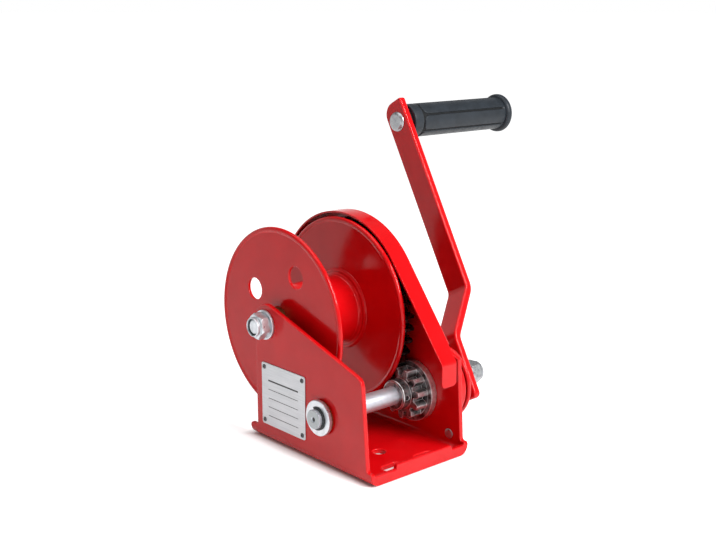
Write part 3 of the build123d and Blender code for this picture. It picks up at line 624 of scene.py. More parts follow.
@dataclass(frozen=True)
class MouldedRubber(Finish):
    """Black moulded rubber with a fine grain, a bloom of dust, and duller creases with painted shade in
    them.
    """

    colour: Colour = (0.013, 0.017, 0.022)
    bloom: Colour = (0.021, 0.027, 0.035)
    # Near black, painted into the grooves as shade
    groove_shade: Colour = (0.004, 0.005, 0.006)
    dust: Noise = Noise(11 * MM, 5.0)
    smears: Noise = Noise(5 * MM, 3.0)
    roughness: Span = (0.34, 0.50)
    crease_dulling: float = 0.3
    specular: float = 0.28
    grain: Noise = Noise(0.5 * MM)
    grain_depth: float = 0.012 * MM

    def paint(self, graph: ShaderGraph) -> None:
        """Builds the rubber's nodes.

        Args:
            graph: The material's graph.
        """
        body = graph.blend(graph.patches(self.dust), self.colour, self.bloom)
        crease = graph.attribute(CREASE)
        # Painted shade: the grooves are painted near black
        graph.set("Base Color", graph.blend(crease, body, self.groove_shade))
        dulling = graph.calculate("MULTIPLY", crease, self.crease_dulling)
        smears = graph.patches(self.smears, self.roughness)
        graph.set("Roughness", graph.calculate("ADD", smears, dulling))
        graph.set("Specular IOR Level", self.specular)
        graph.set("Normal", graph.emboss(graph.noise(self.grain), self.grain_depth))


class FormTree(NodeGraph):
    """Geometry Nodes tree with named inputs, run once to give a plain mesh."""

    def __init__(self, name: str) -> None:
        """Starts an empty tree.

        Args:
            name: The tree's name.
        """
        super().__init__(bpy.data.node_groups.new(name, "GeometryNodeTree"))
        self.values: dict[str, object] = {}
        for way in ("INPUT", "OUTPUT"):
            self.tree.interface.new_socket("Geometry", in_out=way, socket_type="NodeSocketGeometry")
        self.entry = self.add("NodeGroupInput")
        self.exit = self.add("NodeGroupOutput")

    def size(self, name: str, value: object, kind: str = "NodeSocketFloat") -> Socket:
        """Adds a named input.

        Args:
            name: The input's name.
            value: What the modifier sets it to.
            kind: The socket's type.

        Returns:
            The input's socket inside the tree.
        """
        socket = self.tree.interface.new_socket(name, in_out="INPUT", socket_type=kind)
        self.values[socket.identifier] = value
        return self.entry.outputs[name]

    def close(self, points: Socket, unit: Socket, material: Material, **more: Socket) -> None:
        """Puts a unit on points, and ends the tree in Realize Instances and Set Material.

        Args:
            points: The points.
            unit: What is put on each of them.
            material: Material of the result.
            more: Turn or scale of each copy, by the input's name.
        """
        copies = self.add("GeometryNodeInstanceOnPoints")
        for name, socket in {"Points": points, "Instance": unit, **more}.items():
            self.join(socket, copies.inputs[name])
        real = self.add("GeometryNodeRealizeInstances")
        dress = self.add("GeometryNodeSetMaterial")
        dress.inputs["Material"].default_value = material
        self.join(copies.outputs["Instances"], real.inputs["Geometry"])
        self.join(real.outputs["Geometry"], dress.inputs["Geometry"])
        self.join(dress.outputs["Geometry"], self.exit.inputs["Geometry"])

    def run(self, source: Mesh) -> Mesh:
        """Runs the tree on a mesh.

        Args:
            source: What goes into the tree.

        Returns:
            The result as a plain mesh.
        """
        carrier = bpy.data.objects.new(self.tree.name + "_carrier", source)
        bpy.context.scene.collection.objects.link(carrier)
        modifier = carrier.modifiers.new("form", "NODES")
        modifier.node_group = self.tree
        for identifier, value in self.values.items():
            modifier[identifier] = value
        made = baked(carrier)
        carrier.modifiers.remove(modifier)
        bpy.data.objects.remove(carrier)
        return made


def baked(carrier: bpy.types.Object) -> Mesh:
    """Plain mesh of an object with its modifiers applied.

    Args:
        carrier: The object.

    Returns:
        A new mesh.
    """
    bpy.context.view_layer.update()
    graph = bpy.context.evaluated_depsgraph_get()
    final = carrier.evaluated_get(graph)
    return bpy.data.meshes.new_from_object(final, preserve_all_data_layers=True, depsgraph=graph)


def ring_tree(name: str, count: int, axis: Axle, material: Material) -> FormTree:
    """Tree that repeats its input round an axle along X.

    Args:
        name: The tree's name.
        count: How many copies a full turn has.
        axis: Y and Z of the axle.
        material: Material of the result.

    Returns:
        The tree.
    """
    form = FormTree(name)
    number = form.size("Count", count, "NodeSocketInt")
    centre = form.size("Axle", (0.0, *axis), "NodeSocketVector")
    points = form.add("GeometryNodePoints")
    form.join(number, points.inputs["Count"])
    form.join(centre, points.inputs["Position"])
    step = form.calculate("DIVIDE", 2 * math.pi, number)
    turn = form.calculate("MULTIPLY", form.add("GeometryNodeInputIndex").outputs["Index"], step)
    about = form.add("ShaderNodeCombineXYZ")
    form.join(turn, about.inputs["X"])
    form.close(points.outputs[0], form.entry.outputs["Geometry"], material, Rotation=about.outputs["Vector"])
    return form


def grid_tree(name: str, place: Place, size: Span, material: Material) -> FormTree:
    """Tree that puts its input at the four corners of a rectangle across X.

    Args:
        name: The tree's name.
        place: Centre of the rectangle.
        size: Its size along Y and Z.
        material: Material of the result.

    Returns:
        The tree.
    """
    form = FormTree(name)
    across = form.size("Spacing along", size[0])
    upward = form.size("Spacing up", size[1])
    centre = form.size("Centre", place, "NodeSocketVector")
    grid = form.add("GeometryNodeMeshGrid")
    form.join(upward, grid.inputs["Size X"])
    form.join(across, grid.inputs["Size Y"])
    for corner_count in ("Vertices X", "Vertices Y"):
        grid.inputs[corner_count].default_value = 2
    stand = form.add("GeometryNodeTransform")
    stand.inputs["Rotation"].default_value = (0.0, math.pi / 2, 0.0)
    form.join(grid.outputs["Mesh"], stand.inputs["Geometry"])
    form.join(centre, stand.inputs["Translation"])
    form.close(stand.outputs["Geometry"], form.entry.outputs["Geometry"], material)
    return form


def spot_tree(name: str, unit: bpy.types.Object, material: Material) -> FormTree:
    """Tree that puts a unit at each vertex of its input.

    Args:
        name: The tree's name.
        unit: What is put there.
        material: Material of the result.

    Returns:
        The tree.
    """
    form = FormTree(name)
    info = form.add("GeometryNodeObjectInfo")
    form.join(form.size("Unit", unit, "NodeSocketObject"), info.inputs["Object"])
    form.close(form.entry.outputs["Geometry"], info.outputs["Geometry"], material)
    return form


def mesh_from(form: Form, name: str) -> Mesh:
    """Mesh from an edit mesh, merged, with its faces turned outwards.

    Args:
        form: The edit mesh, which is freed.
        name: The mesh's name.

    Returns:
        The mesh.
    """
    bmesh.ops.remove_doubles(form, verts=form.verts, dist=WELD)
    bmesh.ops.recalc_face_normals(form, faces=form.faces)
    made = bpy.data.meshes.new(name)
    form.to_mesh(made)
    form.free()
    return made


def ring_of(unit: Mesh, name: str, count: int, axis: Axle, material: Material) -> Mesh:
    """Closed mesh from a slice that is repeated round an axle.

    Args:
        unit: The slice, about the X axis.
        name: The mesh's name.
        count: How many slices there are.
        axis: Y and Z of the axle.
        material: Material of the mesh.

    Returns:
        The mesh.
    """
    form = bmesh.new()
    form.from_mesh(ring_tree(name + "_ring", count, axis, material).run(unit))
    return mesh_from(form, name)


def smooth(mesh: Mesh, angle: float) -> None:
    """Shades a mesh smooth, with its edges over an angle left sharp."""
    mesh.shade_smooth()
    mesh.set_sharp_from_angle(angle=angle)


def turned(rings: Sequence[Ring], sides: int) -> Form:
    """Closed form about X from rings, each a station and a radius, or a radius for each angle.

    Args:
        rings: Rings in order round the section. A radius of 0 closes the form on the axis.
        sides: Sides of each ring.

    Returns:
        The form, centred on the X axis.
    """
    form = bmesh.new()
    loops: list[list[bmesh.types.BMVert]] = []
    for station, radius in rings:
        loop = []
        for index in range(sides):
            angle = 2 * math.pi * index / sides
            reach = radius(angle) if callable(radius) else radius
            loop.append(form.verts.new((station, reach * math.cos(angle), reach * math.sin(angle))))
        loops.append(loop)
    for near, far in zip(loops, loops[1:]):
        for index in range(sides):
            after = (index + 1) % sides
            form.faces.new((near[index], near[after], far[after], far[index]))
    bmesh.ops.remove_doubles(form, verts=form.verts, dist=WELD)
    bmesh.ops.dissolve_degenerate(form, edges=form.edges, dist=WELD)
    return form


def hexagon(flats: float) -> Callable[[float], float]:
    """Radius of a hexagon for each angle.

    Args:
        flats: Distance across its flats.

    Returns:
        A function from angle to radius.
    """

    def reach(angle: float) -> float:
        """Radius at an angle."""
        return flats / 2 / math.cos((angle + math.pi / 6) % (math.pi / 3) - math.pi / 6)

    return reach


def eased(value: float) -> float:
    """Smooth rise from 0 to 1 while a value does so."""
    held = min(1.0, max(0.0, value))
    return held * held * (3 - 2 * held)


@dataclass
class Bench:
    """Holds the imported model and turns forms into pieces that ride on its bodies."""

    nodes: dict[str, bpy.types.Object] = field(default_factory=dict)
    axes: dict[str, Axle] = field(default_factory=dict)
    cad_box: tuple[Vector, Vector] | None = None
    flat_angle: float = math.radians(0.4)
    sharp_angle: float = math.radians(38)
    round_segments: int = 3
    round_slot: int = 1

    def load(self) -> None:
        """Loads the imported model, its axles and its box."""
        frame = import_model()
        self.nodes = frame["nodes"]
        self.axes = {joint["name"]: (joint["pos_m"][1], joint["pos_m"][2]) for joint in frame["joints"]}
        self.cad_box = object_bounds()

    @staticmethod
    def span(node: str) -> Span:
        """Lowest and highest station of a CAD node along X."""
        low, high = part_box(node)
        return low.x, high.x

    def dress(self, node: str, finish: Finish) -> None:
        """Gives a CAD node that stays a finish.

        Args:
            node: The node's name.
            finish: Its finish.
        """
        mesh = self.nodes[node].data
        mesh.materials.clear()
        mesh.materials.append(finish.material())
        LOG.info("%s keeps its CAD form, in %s", node, finish.name)

    def piece(
        self,
        name: str,
        mesh: Mesh,
        body: Body,
        finish: Finish,
        stands_for: Sequence[str] = (),
    ) -> None:
        """Puts a mesh in the scene as a piece.

        Args:
            name: The piece's name.
            mesh: Its mesh, in place.
            body: The body that it rides on.
            finish: Its finish.
            stands_for: CAD nodes that it replaces.
        """
        mesh.materials.clear()
        mesh.materials.append(finish.material())
        mesh.name = name
        piece = bpy.data.objects.new(name, mesh)
        bpy.context.scene.collection.objects.link(piece)
        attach(piece, body.value)
        if stands_for:
            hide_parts(*stands_for)
        LOG.info("%s rides on %s, in %s, %d faces", name, body.value, finish.name, len(mesh.polygons))

    def cad_form(self, node: str) -> Mesh:
        """Copy of a CAD node's mesh, merged, with its flat faces made whole.

        Args:
            node: The node's name.

        Returns:
            The copy.
        """
        form = bmesh.new()
        form.from_mesh(self.nodes[node].data)
        bmesh.ops.remove_doubles(form, verts=form.verts, dist=WELD)
        bmesh.ops.dissolve_limit(form, angle_limit=self.flat_angle, verts=form.verts, edges=form.edges)
        return mesh_from(form, node + "_form")

    def rounded(self, source: Mesh, radius: float, segments: int) -> Mesh:
        """Rounds a mesh's sharp edges, and marks the rounding in an attribute.

        Args:
            source: The mesh, which is used up.
            radius: How far each edge is rounded.
            segments: Faces across each rounding.

        Returns:
            The rounded mesh.
        """
        source.shade_smooth()
        while len(source.materials) <= self.round_slot:
            source.materials.append(None)
        carrier = bpy.data.objects.new("rounding_carrier", source)
        bpy.context.scene.collection.objects.link(carrier)
        bevel = carrier.modifiers.new("round", "BEVEL")
        bevel.width = radius
        bevel.segments = segments
        bevel.limit_method = "ANGLE"
        bevel.angle_limit = self.sharp_angle
        bevel.use_clamp_overlap = False
        bevel.miter_outer = "MITER_ARC"
        bevel.material = self.round_slot
        weld = carrier.modifiers.new("weld", "WELD")
        weld.merge_threshold = WELD
        flats = carrier.modifiers.new("flats", "WEIGHTED_NORMAL")
        flats.mode = "FACE_AREA"
        made = baked(carrier)
        bpy.data.objects.remove(carrier)
        bpy.data.meshes.remove(source)
        mark = made.attributes.new(EDGE, "FLOAT", "CORNER")
        for face in made.polygons:
            edge = float(face.material_index == self.round_slot)
            for corner in face.loop_indices:
                mark.data[corner].value = edge
            face.material_index = 0
        return made

    def rounded_node(self, node: str, name: str, body: Body, finish: Finish, radius: float) -> None:
        """Makes a piece with a CAD node's form and its edges rounded by a radius, to stand for the node."""
        mesh = self.rounded(self.cad_form(node), radius, self.round_segments)
        self.piece(name, mesh, body, finish, (node,))


@dataclass
class FrameSet:
    """Bent frame, gear guard, the cup's rivet, the shaft's bushes, and the pawl's post, clip and spring."""

    bench: Bench
    paint: Finish
    zinc: Finish
    black: Finish
    bronze: Finish
    sheet_edge: float = 0.9 * MM
    guard_edge: float = 0.3 * MM
    rivet_edge: float = 0.3 * MM

    def build(self) -> None:
        """Builds the frame's pieces."""
        self.bench.rounded_node("winch_frame", "frame_shell", Body.FRAME, self.paint, self.sheet_edge)
        self.bench.rounded_node("gear_guard", "guard_strip", Body.FRAME, self.paint, self.guard_edge)
        self.bench.rounded_node("housing_rivet", "cup_rivet", Body.FRAME, self.zinc, self.rivet_edge)
        self.bench.rounded_node("pawl_post", "pawl_stud", Body.FRAME, self.zinc, self.rivet_edge)
        self.bench.dress("pawl_clip", self.zinc)
        for bush in ("shaft_bush_left", "shaft_bush_right"):
            self.bench.dress(bush, self.bronze)
        self.bench.dress("pawl_spring", self.black)


@dataclass
class NamePlate:
    """Bare aluminium plate with ruled lines, held by four rivets."""

    bench: Bench
    aluminium: Finish
    zinc: Finish
    ink: Finish
    sheet_edge: float = 0.25 * MM
    rivet_inset: float = 3.6 * MM
    rivet_radius: float = 1.9 * MM
    rivet_height: float = 0.8 * MM
    rivet_sides: int = 20
    dome: tuple[Span, ...] = ((0.35, 1.0), (0.75, 0.86), (1.0, 0.62))
    hollow: tuple[Span, ...] = ((1.0, 0.44), (0.3, 0.40), (0.3, 0.0))
    sharp_angle: float = math.radians(35)
    rule_pitch: float = 7.4 * MM
    rule_count: int = 5
    rule_bar: Place = (0.06 * MM, 38 * MM, 0.5 * MM)
    heading_extra: float = 1.6
    header: float = 14 * MM

    def rivet(self) -> Mesh:
        """Blind rivet's head: a low dome with a hollow in its middle, from shares of its height and radius.

        Returns:
            The head's mesh, which stands on the origin towards -X.
        """
        shares = ((0.0, 0.0), (0.0, 1.0), *self.dome, *self.hollow)
        rings = [(-rise * self.rivet_height, reach * self.rivet_radius) for rise, reach in shares]
        return mesh_from(turned(rings, self.rivet_sides), "rivet_unit")

    def rules(self, top: Place) -> FormTree:
        """Tree that stacks thin bars downwards, the first of them heavy.

        Args:
            top: Centre of the top bar.

        Returns:
            The tree.
        """
        form = FormTree("label_rules")
        start = form.size("Top", top, "NodeSocketVector")
        number = form.size("Count", self.rule_count, "NodeSocketInt")
        pitch = form.size("Pitch", self.rule_pitch)
        bar = form.size("Bar", self.rule_bar, "NodeSocketVector")
        extra = form.size("Heading extra", self.heading_extra)
        down = form.add("ShaderNodeCombineXYZ")
        form.join(form.calculate("MULTIPLY", pitch, -1.0), down.inputs["Z"])
        line = form.add("GeometryNodeMeshLine")
        form.join(number, line.inputs["Count"])
        form.join(start, line.inputs["Start Location"])
        form.join(down.outputs["Vector"], line.inputs["Offset"])
        block = form.add("GeometryNodeMeshCube")
        form.join(bar, block.inputs["Size"])
        first = form.calculate("LESS_THAN", form.add("GeometryNodeInputIndex").outputs["Index"], 1.0)
        grow = form.add("ShaderNodeCombineXYZ")
        grow.inputs["X"].default_value = 1.0
        grow.inputs["Y"].default_value = 1.0
        heavy = form.calculate("ADD", form.calculate("MULTIPLY", first, extra), 1.0)
        form.join(heavy, grow.inputs["Z"])
        ink = self.ink.material()
        form.close(line.outputs["Mesh"], block.outputs["Mesh"], ink, Scale=grow.outputs["Vector"])
        return form

    def build(self) -> None:
        """Builds the plate, its rivets and its ruled lines."""
        low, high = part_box("name_plate")
        self.bench.rounded_node("name_plate", "label_sheet", Body.FRAME, self.aluminium, self.sheet_edge)
        middle = (low + high) / 2
        spacing = (high.y - low.y - 2 * self.rivet_inset, high.z - low.z - 2 * self.rivet_inset)
        corners = grid_tree("rivet_grid", (low.x, middle.y, middle.z), spacing, self.zinc.material())
        rivets = corners.run(self.rivet())
        smooth(rivets, self.sharp_angle)
        self.bench.piece("label_rivets", rivets, Body.FRAME, self.zinc, ("name_plate_rivets",))
        rules = self.rules((low.x - self.rule_bar[0] / 2, middle.y, high.z - self.header))
        self.bench.piece("label_lines", rules.run(bpy.data.meshes.new("rules_seed")), Body.FRAME, self.ink)


@dataclass
class AxleSet:
    """Drum's bolt with its washers, lock nut and sleeve."""

    bench: Bench
    zinc: Finish
    nylon: Finish
    steel: Finish
    bolt_edge: float = 0.3 * MM
    washer_edge: float = 0.4 * MM
    nut_edge: float = 0.35 * MM

    def build(self) -> None:
        """Builds the axle's pieces."""
        self.bench.rounded_node("drum_axle", "axle_bolt", Body.FRAME, self.zinc, self.bolt_edge)
        self.bench.rounded_node("axle_washers", "axle_washer_pair", Body.FRAME, self.zinc, self.washer_edge)
        self.bench.rounded_node("axle_nut", "axle_locknut", Body.FRAME, self.zinc, self.nut_edge)
        self.bench.dress("axle_nut_insert", self.nylon)
        self.bench.dress("axle_sleeve", self.steel)


@dataclass
class DrumSet:
    """Rope drum: barrel, two flanges with rolled rims, bushes and the big gear."""

    bench: Bench
    paint: Finish
    gear_steel_with_painted_shade: Finish
    bronze: Finish
    sheet_edge: float = 0.6 * MM
    tooth_edge: float = 0.25 * MM
    tooth_segments: int = 2
    teeth: int = 45
    module: float = 3.25 * MM
    shift: float = -0.35
    root_share: float = 1.25
    pressure: float = math.radians(20.0)
    thinning: float = 0.12 * MM
    phase: float = math.radians(223.6)
    bore: float = 12.06 * MM
    boss_radius: float = 55 * MM
    boss_height: float = 1.75 * MM
    flank_steps: int = 6

    def tooth(self) -> list[Span]:
        """Outline of one tooth from valley to valley.

        Returns:
            Angles from the tooth's middle, and radii.
        """
        pitch = self.module * self.teeth / 2
        base = pitch * math.cos(self.pressure)
        tip = pitch + self.module * (1 + self.shift)
        root = pitch - self.module * (self.root_share - self.shift)
        foot = max(base, root)
        half = math.pi / (2 * self.teeth) + 2 * self.shift * math.tan(self.pressure) / self.teeth
        half += math.tan(self.pressure) - self.pressure - self.thinning / pitch

        def spread(radius: float) -> float:
            """Half angle of the tooth at a radius."""
            pressure = math.acos(min(1.0, base / radius))
            return half - math.tan(pressure) + pressure

        valley = math.pi / self.teeth
        radii = [foot + (tip - foot) * step / self.flank_steps for step in range(self.flank_steps + 1)]
        rise = [(-valley, root), (-half, root)]
        rise += [(-spread(radius), radius) for radius in radii]
        return rise + [(-angle, radius) for angle, radius in reversed(rise)]

    def gear_unit(self, low: float, high: float) -> Mesh:
        """One tooth's slice of the gear, open at its two sides.

        Args:
            low: Station of the boss's face.
            high: Station of the gear's far face.

        Returns:
            The slice, about the X axis.
        """
        form = bmesh.new()
        outline = self.tooth()
        middle = low + self.boss_height
        ends = (-math.pi / self.teeth, 0.0, math.pi / self.teeth)

        def spot(station: float, angle: float, radius: float) -> bmesh.types.BMVert:
            """Corner of the slice."""
            turn = angle + self.phase
            return form.verts.new((station, radius * math.cos(turn), radius * math.sin(turn)))

        near = [spot(middle, *corner) for corner in outline]
        far = [spot(high, *corner) for corner in outline]
        boss_top = [spot(middle, angle, self.boss_radius) for angle in ends]
        boss_face = [spot(low, angle, self.boss_radius) for angle in ends]
        bore_low = [spot(low, angle, self.bore) for angle in ends]
        bore_high = [spot(high, angle, self.bore) for angle in ends]
        form.faces.new((*near, *reversed(boss_top)))
        form.faces.new((*far, *reversed(bore_high)))
        walls = ((near, far), (boss_top, boss_face), (boss_face, bore_low), (bore_low, bore_high))
        for upper, lower in walls:
            for corners in zip(upper, upper[1:], lower[1:], lower):
                form.faces.new(corners)
        return mesh_from(form, "gear_unit")

    def build(self) -> None:
        """Builds the drum's pieces."""
        self.bench.rounded_node("drum_barrel", "barrel", Body.DRUM, self.paint, self.sheet_edge)
        for side in ("left", "right"):
            name = "flange_" + side
            self.bench.rounded_node("drum_" + name, name, Body.DRUM, self.paint, self.sheet_edge)
        self.bench.dress("drum_bushes", self.bronze)
        unit = self.gear_unit(*self.bench.span("drum_gear"))
        axis = self.bench.axes["drum_spin"]
        whole = ring_of(unit, "gear_whole", self.teeth, axis, self.gear_steel_with_painted_shade.material())
        gear = self.bench.rounded(whole, self.tooth_edge, self.tooth_segments)
        self.bench.piece("big_gear", gear, Body.DRUM, self.gear_steel_with_painted_shade, ("drum_gear",))


@dataclass
class ShaftSet:
    """Crank shaft with its pinion, pin, washer and circlip."""

    bench: Bench
    bright: Finish
    pinion_steel: Finish
    zinc: Finish
    black: Finish
    shaft_edge: float = 0.25 * MM
    pinion_edge: float = 0.3 * MM
    circlip_edge: float = 0.2 * MM

    def build(self) -> None:
        """Builds the shaft's pieces."""
        self.bench.rounded_node("pinion_shaft", "crank_shaft", Body.DRIVE, self.bright, self.shaft_edge)
        self.bench.rounded_node("pinion", "pinion_cut", Body.DRIVE, self.pinion_steel, self.pinion_edge)
        self.bench.dress("pinion_pin", self.black)
        self.bench.rounded_node("shaft_washer", "end_washer", Body.DRIVE, self.zinc, self.shaft_edge)
        self.bench.rounded_node("shaft_circlip", "end_circlip", Body.DRIVE, self.black, self.circlip_edge)


@dataclass
class BrakeSet:
    """Load brake: red cup, screws, flange, linings, ratchet and pawl."""

    bench: Bench
    paint: Finish
    zinc: Finish
    steel: Finish
    lining: Finish
    bronze: Finish
    cup_edge: float = 0.5 * MM
    ratchet_edge: float = 0.3 * MM
    pawl_edge: float = 0.4 * MM
    screw_radius: float = 2.3 * MM
    screw_height: float = 2.2 * MM
    screw_round: float = 0.35 * MM
    screw_sides: int = 24
    sharp_angle: float = math.radians(35)
    socket_flats: float = 2.5 * MM
    socket_depth: float = 1.3 * MM
    screw_circle: float = 27.4 * MM
    screw_angles: tuple[float, ...] = (90.0, 215.0, 330.0)
    shank_radius: float = 1.6 * MM

    def screw(self, length: float) -> Mesh:
        """Socket screw along X, with its head's seat at the origin.

        Args:
            length: Length of the shank.

        Returns:
            The screw's mesh.
        """
        height = self.screw_height
        floor = height - self.socket_depth
        socket = hexagon(self.socket_flats)
        rings: list[Ring] = [
            (-length, 0.0),
            (-length, self.shank_radius),
            (0.0, self.shank_radius),
            (0.0, self.screw_radius),
            (height - self.screw_round, self.screw_radius),
            (height, self.screw_radius - self.screw_round),
            (height, socket),
            (floor, socket),
            (floor, 0.0),
        ]
        return mesh_from(turned(rings, self.screw_sides), "screw_unit")

    def screws(self) -> Mesh:
        """The cup's screws in their places.

        Returns:
            The screws' mesh.
        """
        low, high = self.bench.span("housing_screws")
        seat = high - self.screw_height
        across, upward = self.bench.axes["crank_spin"]
        places = []
        for angle in map(math.radians, self.screw_angles):
            reach = (self.screw_circle * math.cos(angle), self.screw_circle * math.sin(angle))
            places.append((seat, across + reach[0], upward + reach[1]))
        spots = bpy.data.meshes.new("screw_spots")
        spots.from_pydata(places, [], [])
        unit = bpy.data.objects.new("screw_unit", self.screw(seat - low))
        made = spot_tree("screw_spots", unit, self.zinc.material()).run(spots)
        bpy.data.objects.remove(unit)
        smooth(made, self.sharp_angle)
        return made

    def build(self) -> None:
        """Builds the brake's pieces."""
        self.bench.rounded_node("brake_housing", "brake_cup", Body.FRAME, self.paint, self.cup_edge)
        self.bench.piece("cup_screws", self.screws(), Body.FRAME, self.zinc, ("housing_screws",))
        self.bench.dress("brake_flange", self.steel)
        self.bench.dress("friction_disc_inner", self.lining)
        self.bench.dress("friction_disc_outer", self.lining)
        self.bench.rounded_node("ratchet_wheel", "ratchet", Body.RATCHET, self.steel, self.ratchet_edge)
        self.bench.dress("ratchet_bush", self.bronze)
        self.bench.rounded_node("pawl", "pawl_lever", Body.PAWL, self.steel, self.pawl_edge)


@dataclass
class CrankSet:
    """Crank: hub, cranked arm with its nut, and the grip's pin."""

    bench: Bench
    paint: Finish
    zinc: Finish
    nylon: Finish
    black: Finish
    hub_edge: float = 0.5 * MM
    arm_edge: float = 1.8 * MM
    washer_edge: float = 0.4 * MM
    nut_edge: float = 0.35 * MM
    pin_edge: float = 0.4 * MM

    def build(self) -> None:
        """Builds the crank's pieces."""
        self.bench.rounded_node("crank_hub", "hub", Body.DRIVE, self.paint, self.hub_edge)
        self.bench.rounded_node("crank_arm", "arm", Body.DRIVE, self.paint, self.arm_edge)
        self.bench.rounded_node("crank_washer", "arm_washer", Body.DRIVE, self.zinc, self.washer_edge)
        self.bench.rounded_node("crank_nut", "arm_locknut", Body.DRIVE, self.zinc, self.nut_edge)
        self.bench.dress("crank_nut_insert", self.nylon)
        self.bench.rounded_node("grip_pin", "grip_rivet", Body.DRIVE, self.zinc, self.pin_edge)
        self.bench.dress("grip_washer", self.black)


@dataclass
class GripSet:
    """Free-turning grip: a collar, raised panels with grooves between them, and a wide outer end."""

    bench: Bench
    rubber: Finish
    bore: float = 5.06 * MM
    recess: float = 8.2 * MM
    recess_depth: float = 8 * MM
    radius: float = 15.1 * MM
    end_radius: float = 18 * MM
    end_length: float = 5.8 * MM
    end_round: float = 2.4 * MM
    end_flare: float = 3.6 * MM
    collar: float = 10 * MM
    soft: float = 1.2 * MM
    turn_steps: int = 8
    panels: int = 6
    panel_width: float = 13.0 * MM
    panel_turn: float = math.radians(6.0)
    panel_corner: float = 4.5 * MM
    groove_depth: float = 1.3 * MM
    groove_wall: float = 0.9 * MM
    groove_runout: float = 4 * MM
    fine_step: float = 0.3 * MM
    fine_reach: float = 6 * MM
    plain_steps: int = 12
    around_steps: int = 48
    sharp_angle: float = math.radians(50)

    def plain_stations(self, first: float, last: float) -> list[float]:
        """Stations along the grip's straight part, close together where panels start and end.

        Args:
            first: Where the straight part starts.
            last: Where it ends.

        Returns:
            The stations after the start.
        """
        fine = round(self.fine_reach / self.fine_step)
        inner = first + self.collar - self.soft - self.fine_step
        outer = last - self.fine_reach
        stations = [inner + self.fine_reach * step / fine for step in range(fine + 1)]
        gap = outer - stations[-1]
        stations += [stations[-1] + gap * step / self.plain_steps for step in range(1, self.plain_steps)]
        return stations + [outer + self.fine_reach * step / fine for step in range(fine + 1)]

    def outer(self, low: float, high: float) -> list[Span]:
        """Outline of the grip without its panels.

        Args:
            low: Station of the grip's inner end.
            high: Station of its outer end.

        Returns:
            Stations and radii from the inner end to the outer end.
        """
        start = low + self.soft
        bead = high - self.end_length - self.soft
        rise = self.end_radius - self.radius
        turns = [math.pi / 2 * step / self.turn_steps for step in range(self.turn_steps + 1)]
        outline = []
        for turn in turns:
            radius = self.radius - self.soft * (1 - math.sin(turn))
            outline.append((start - self.soft * math.cos(turn), radius))
        outline += [(station, self.radius) for station in self.plain_stations(start, bead)]
        for turn in turns[1:]:
            radius = self.radius + rise * math.sin(turn)
            outline.append((bead + self.end_flare * (1 - math.cos(turn)), radius))
        for turn in turns:
            radius = self.end_radius - self.end_round * (1 - math.cos(turn))
            outline.append((high - self.end_round * (1 - math.sin(turn)), radius))
        return outline

    def groove(self, station: float, angle: float, start: float, stop: float) -> float:
        """Share of the grooves' full depth at a place: they run round the collar and between the panels.

        Args:
            station: Place along the grip.
            angle: Angle from the nearest panel's middle.
            start: Where the collar ends.
            stop: Where the grooves have run out.

        Returns:
            The share, from 0 to 1.
        """
        width = 2 * math.pi * self.radius / self.panels - self.panel_width
        along = start + width + self.panel_corner - station
        across = abs(angle) * self.radius - self.panel_width / 2 + self.panel_corner
        corner = math.hypot(max(along, 0.0), max(across, 0.0))
        beyond = corner + min(max(along, across), 0.0) - self.panel_corner
        walls = eased(beyond / self.groove_wall) * eased((station - start) / self.groove_wall)
        return walls * eased((stop - station) / self.groove_runout)

    def grip_unit(self, low: float, high: float) -> Mesh:
        """One panel's slice of the grip, open at its two sides, with its grooves marked in an attribute.

        Args:
            low: Station of the grip's inner end.
            high: Station of its outer end.

        Returns:
            The slice, about the X axis.
        """
        form = bmesh.new()
        mark = form.verts.layers.float.new(CREASE)
        start = low + self.collar
        stop = high - self.end_length - self.soft
        section = self.outer(low, high)
        skin = len(section)
        section += [
            (high, self.recess),
            (high - self.recess_depth, self.recess),
            (high - self.recess_depth, self.bore),
            (low, self.bore),
            section[0],
        ]
        rows = []
        for index, (station, radius) in enumerate(section):
            row = []
            for step in range(self.around_steps + 1):
                angle = (step / self.around_steps - 0.5) * 2 * math.pi / self.panels
                share = self.groove(station, angle, start, stop) if index < skin else 0.0
                reach = radius - self.groove_depth * share
                turn = angle + self.panel_turn
                corner = form.verts.new((station, reach * math.cos(turn), reach * math.sin(turn)))
                corner[mark] = share
                row.append(corner)
            rows.append(row)
        for near, far in zip(rows, rows[1:]):
            for corners in zip(near, near[1:], far[1:], far):
                form.faces.new(corners)
        return mesh_from(form, "grip_unit")

    def build(self) -> None:
        """Builds the grip."""
        unit = self.grip_unit(*self.bench.span("grip"))
        axis = self.bench.axes["grip_spin"]
        grip = ring_of(unit, "grip_whole", self.panels, axis, self.rubber.material())
        smooth(grip, self.sharp_angle)
        self.bench.piece("grip_sleeve", grip, Body.GRIP, self.rubber, ("grip",))


@dataclass(frozen=True)
class Lamp:
    """Soft square lamp: its name, its place, the side of its face and its power in watts."""

    name: str
    place: Place
    side: float
    power: float

    def build(self, target: Place) -> None:
        """Makes the lamp.

        Args:
            target: Where it points.
        """
        data = bpy.data.lights.new(self.name, "AREA")
        data.size = self.side
        data.energy = self.power
        holder = bpy.data.objects.new(self.name, data)
        holder.location = self.place
        aim = Vector(target) - Vector(self.place)
        holder.rotation_euler = aim.to_track_quat("-Z", "Y").to_euler()
        bpy.context.scene.collection.objects.link(holder)


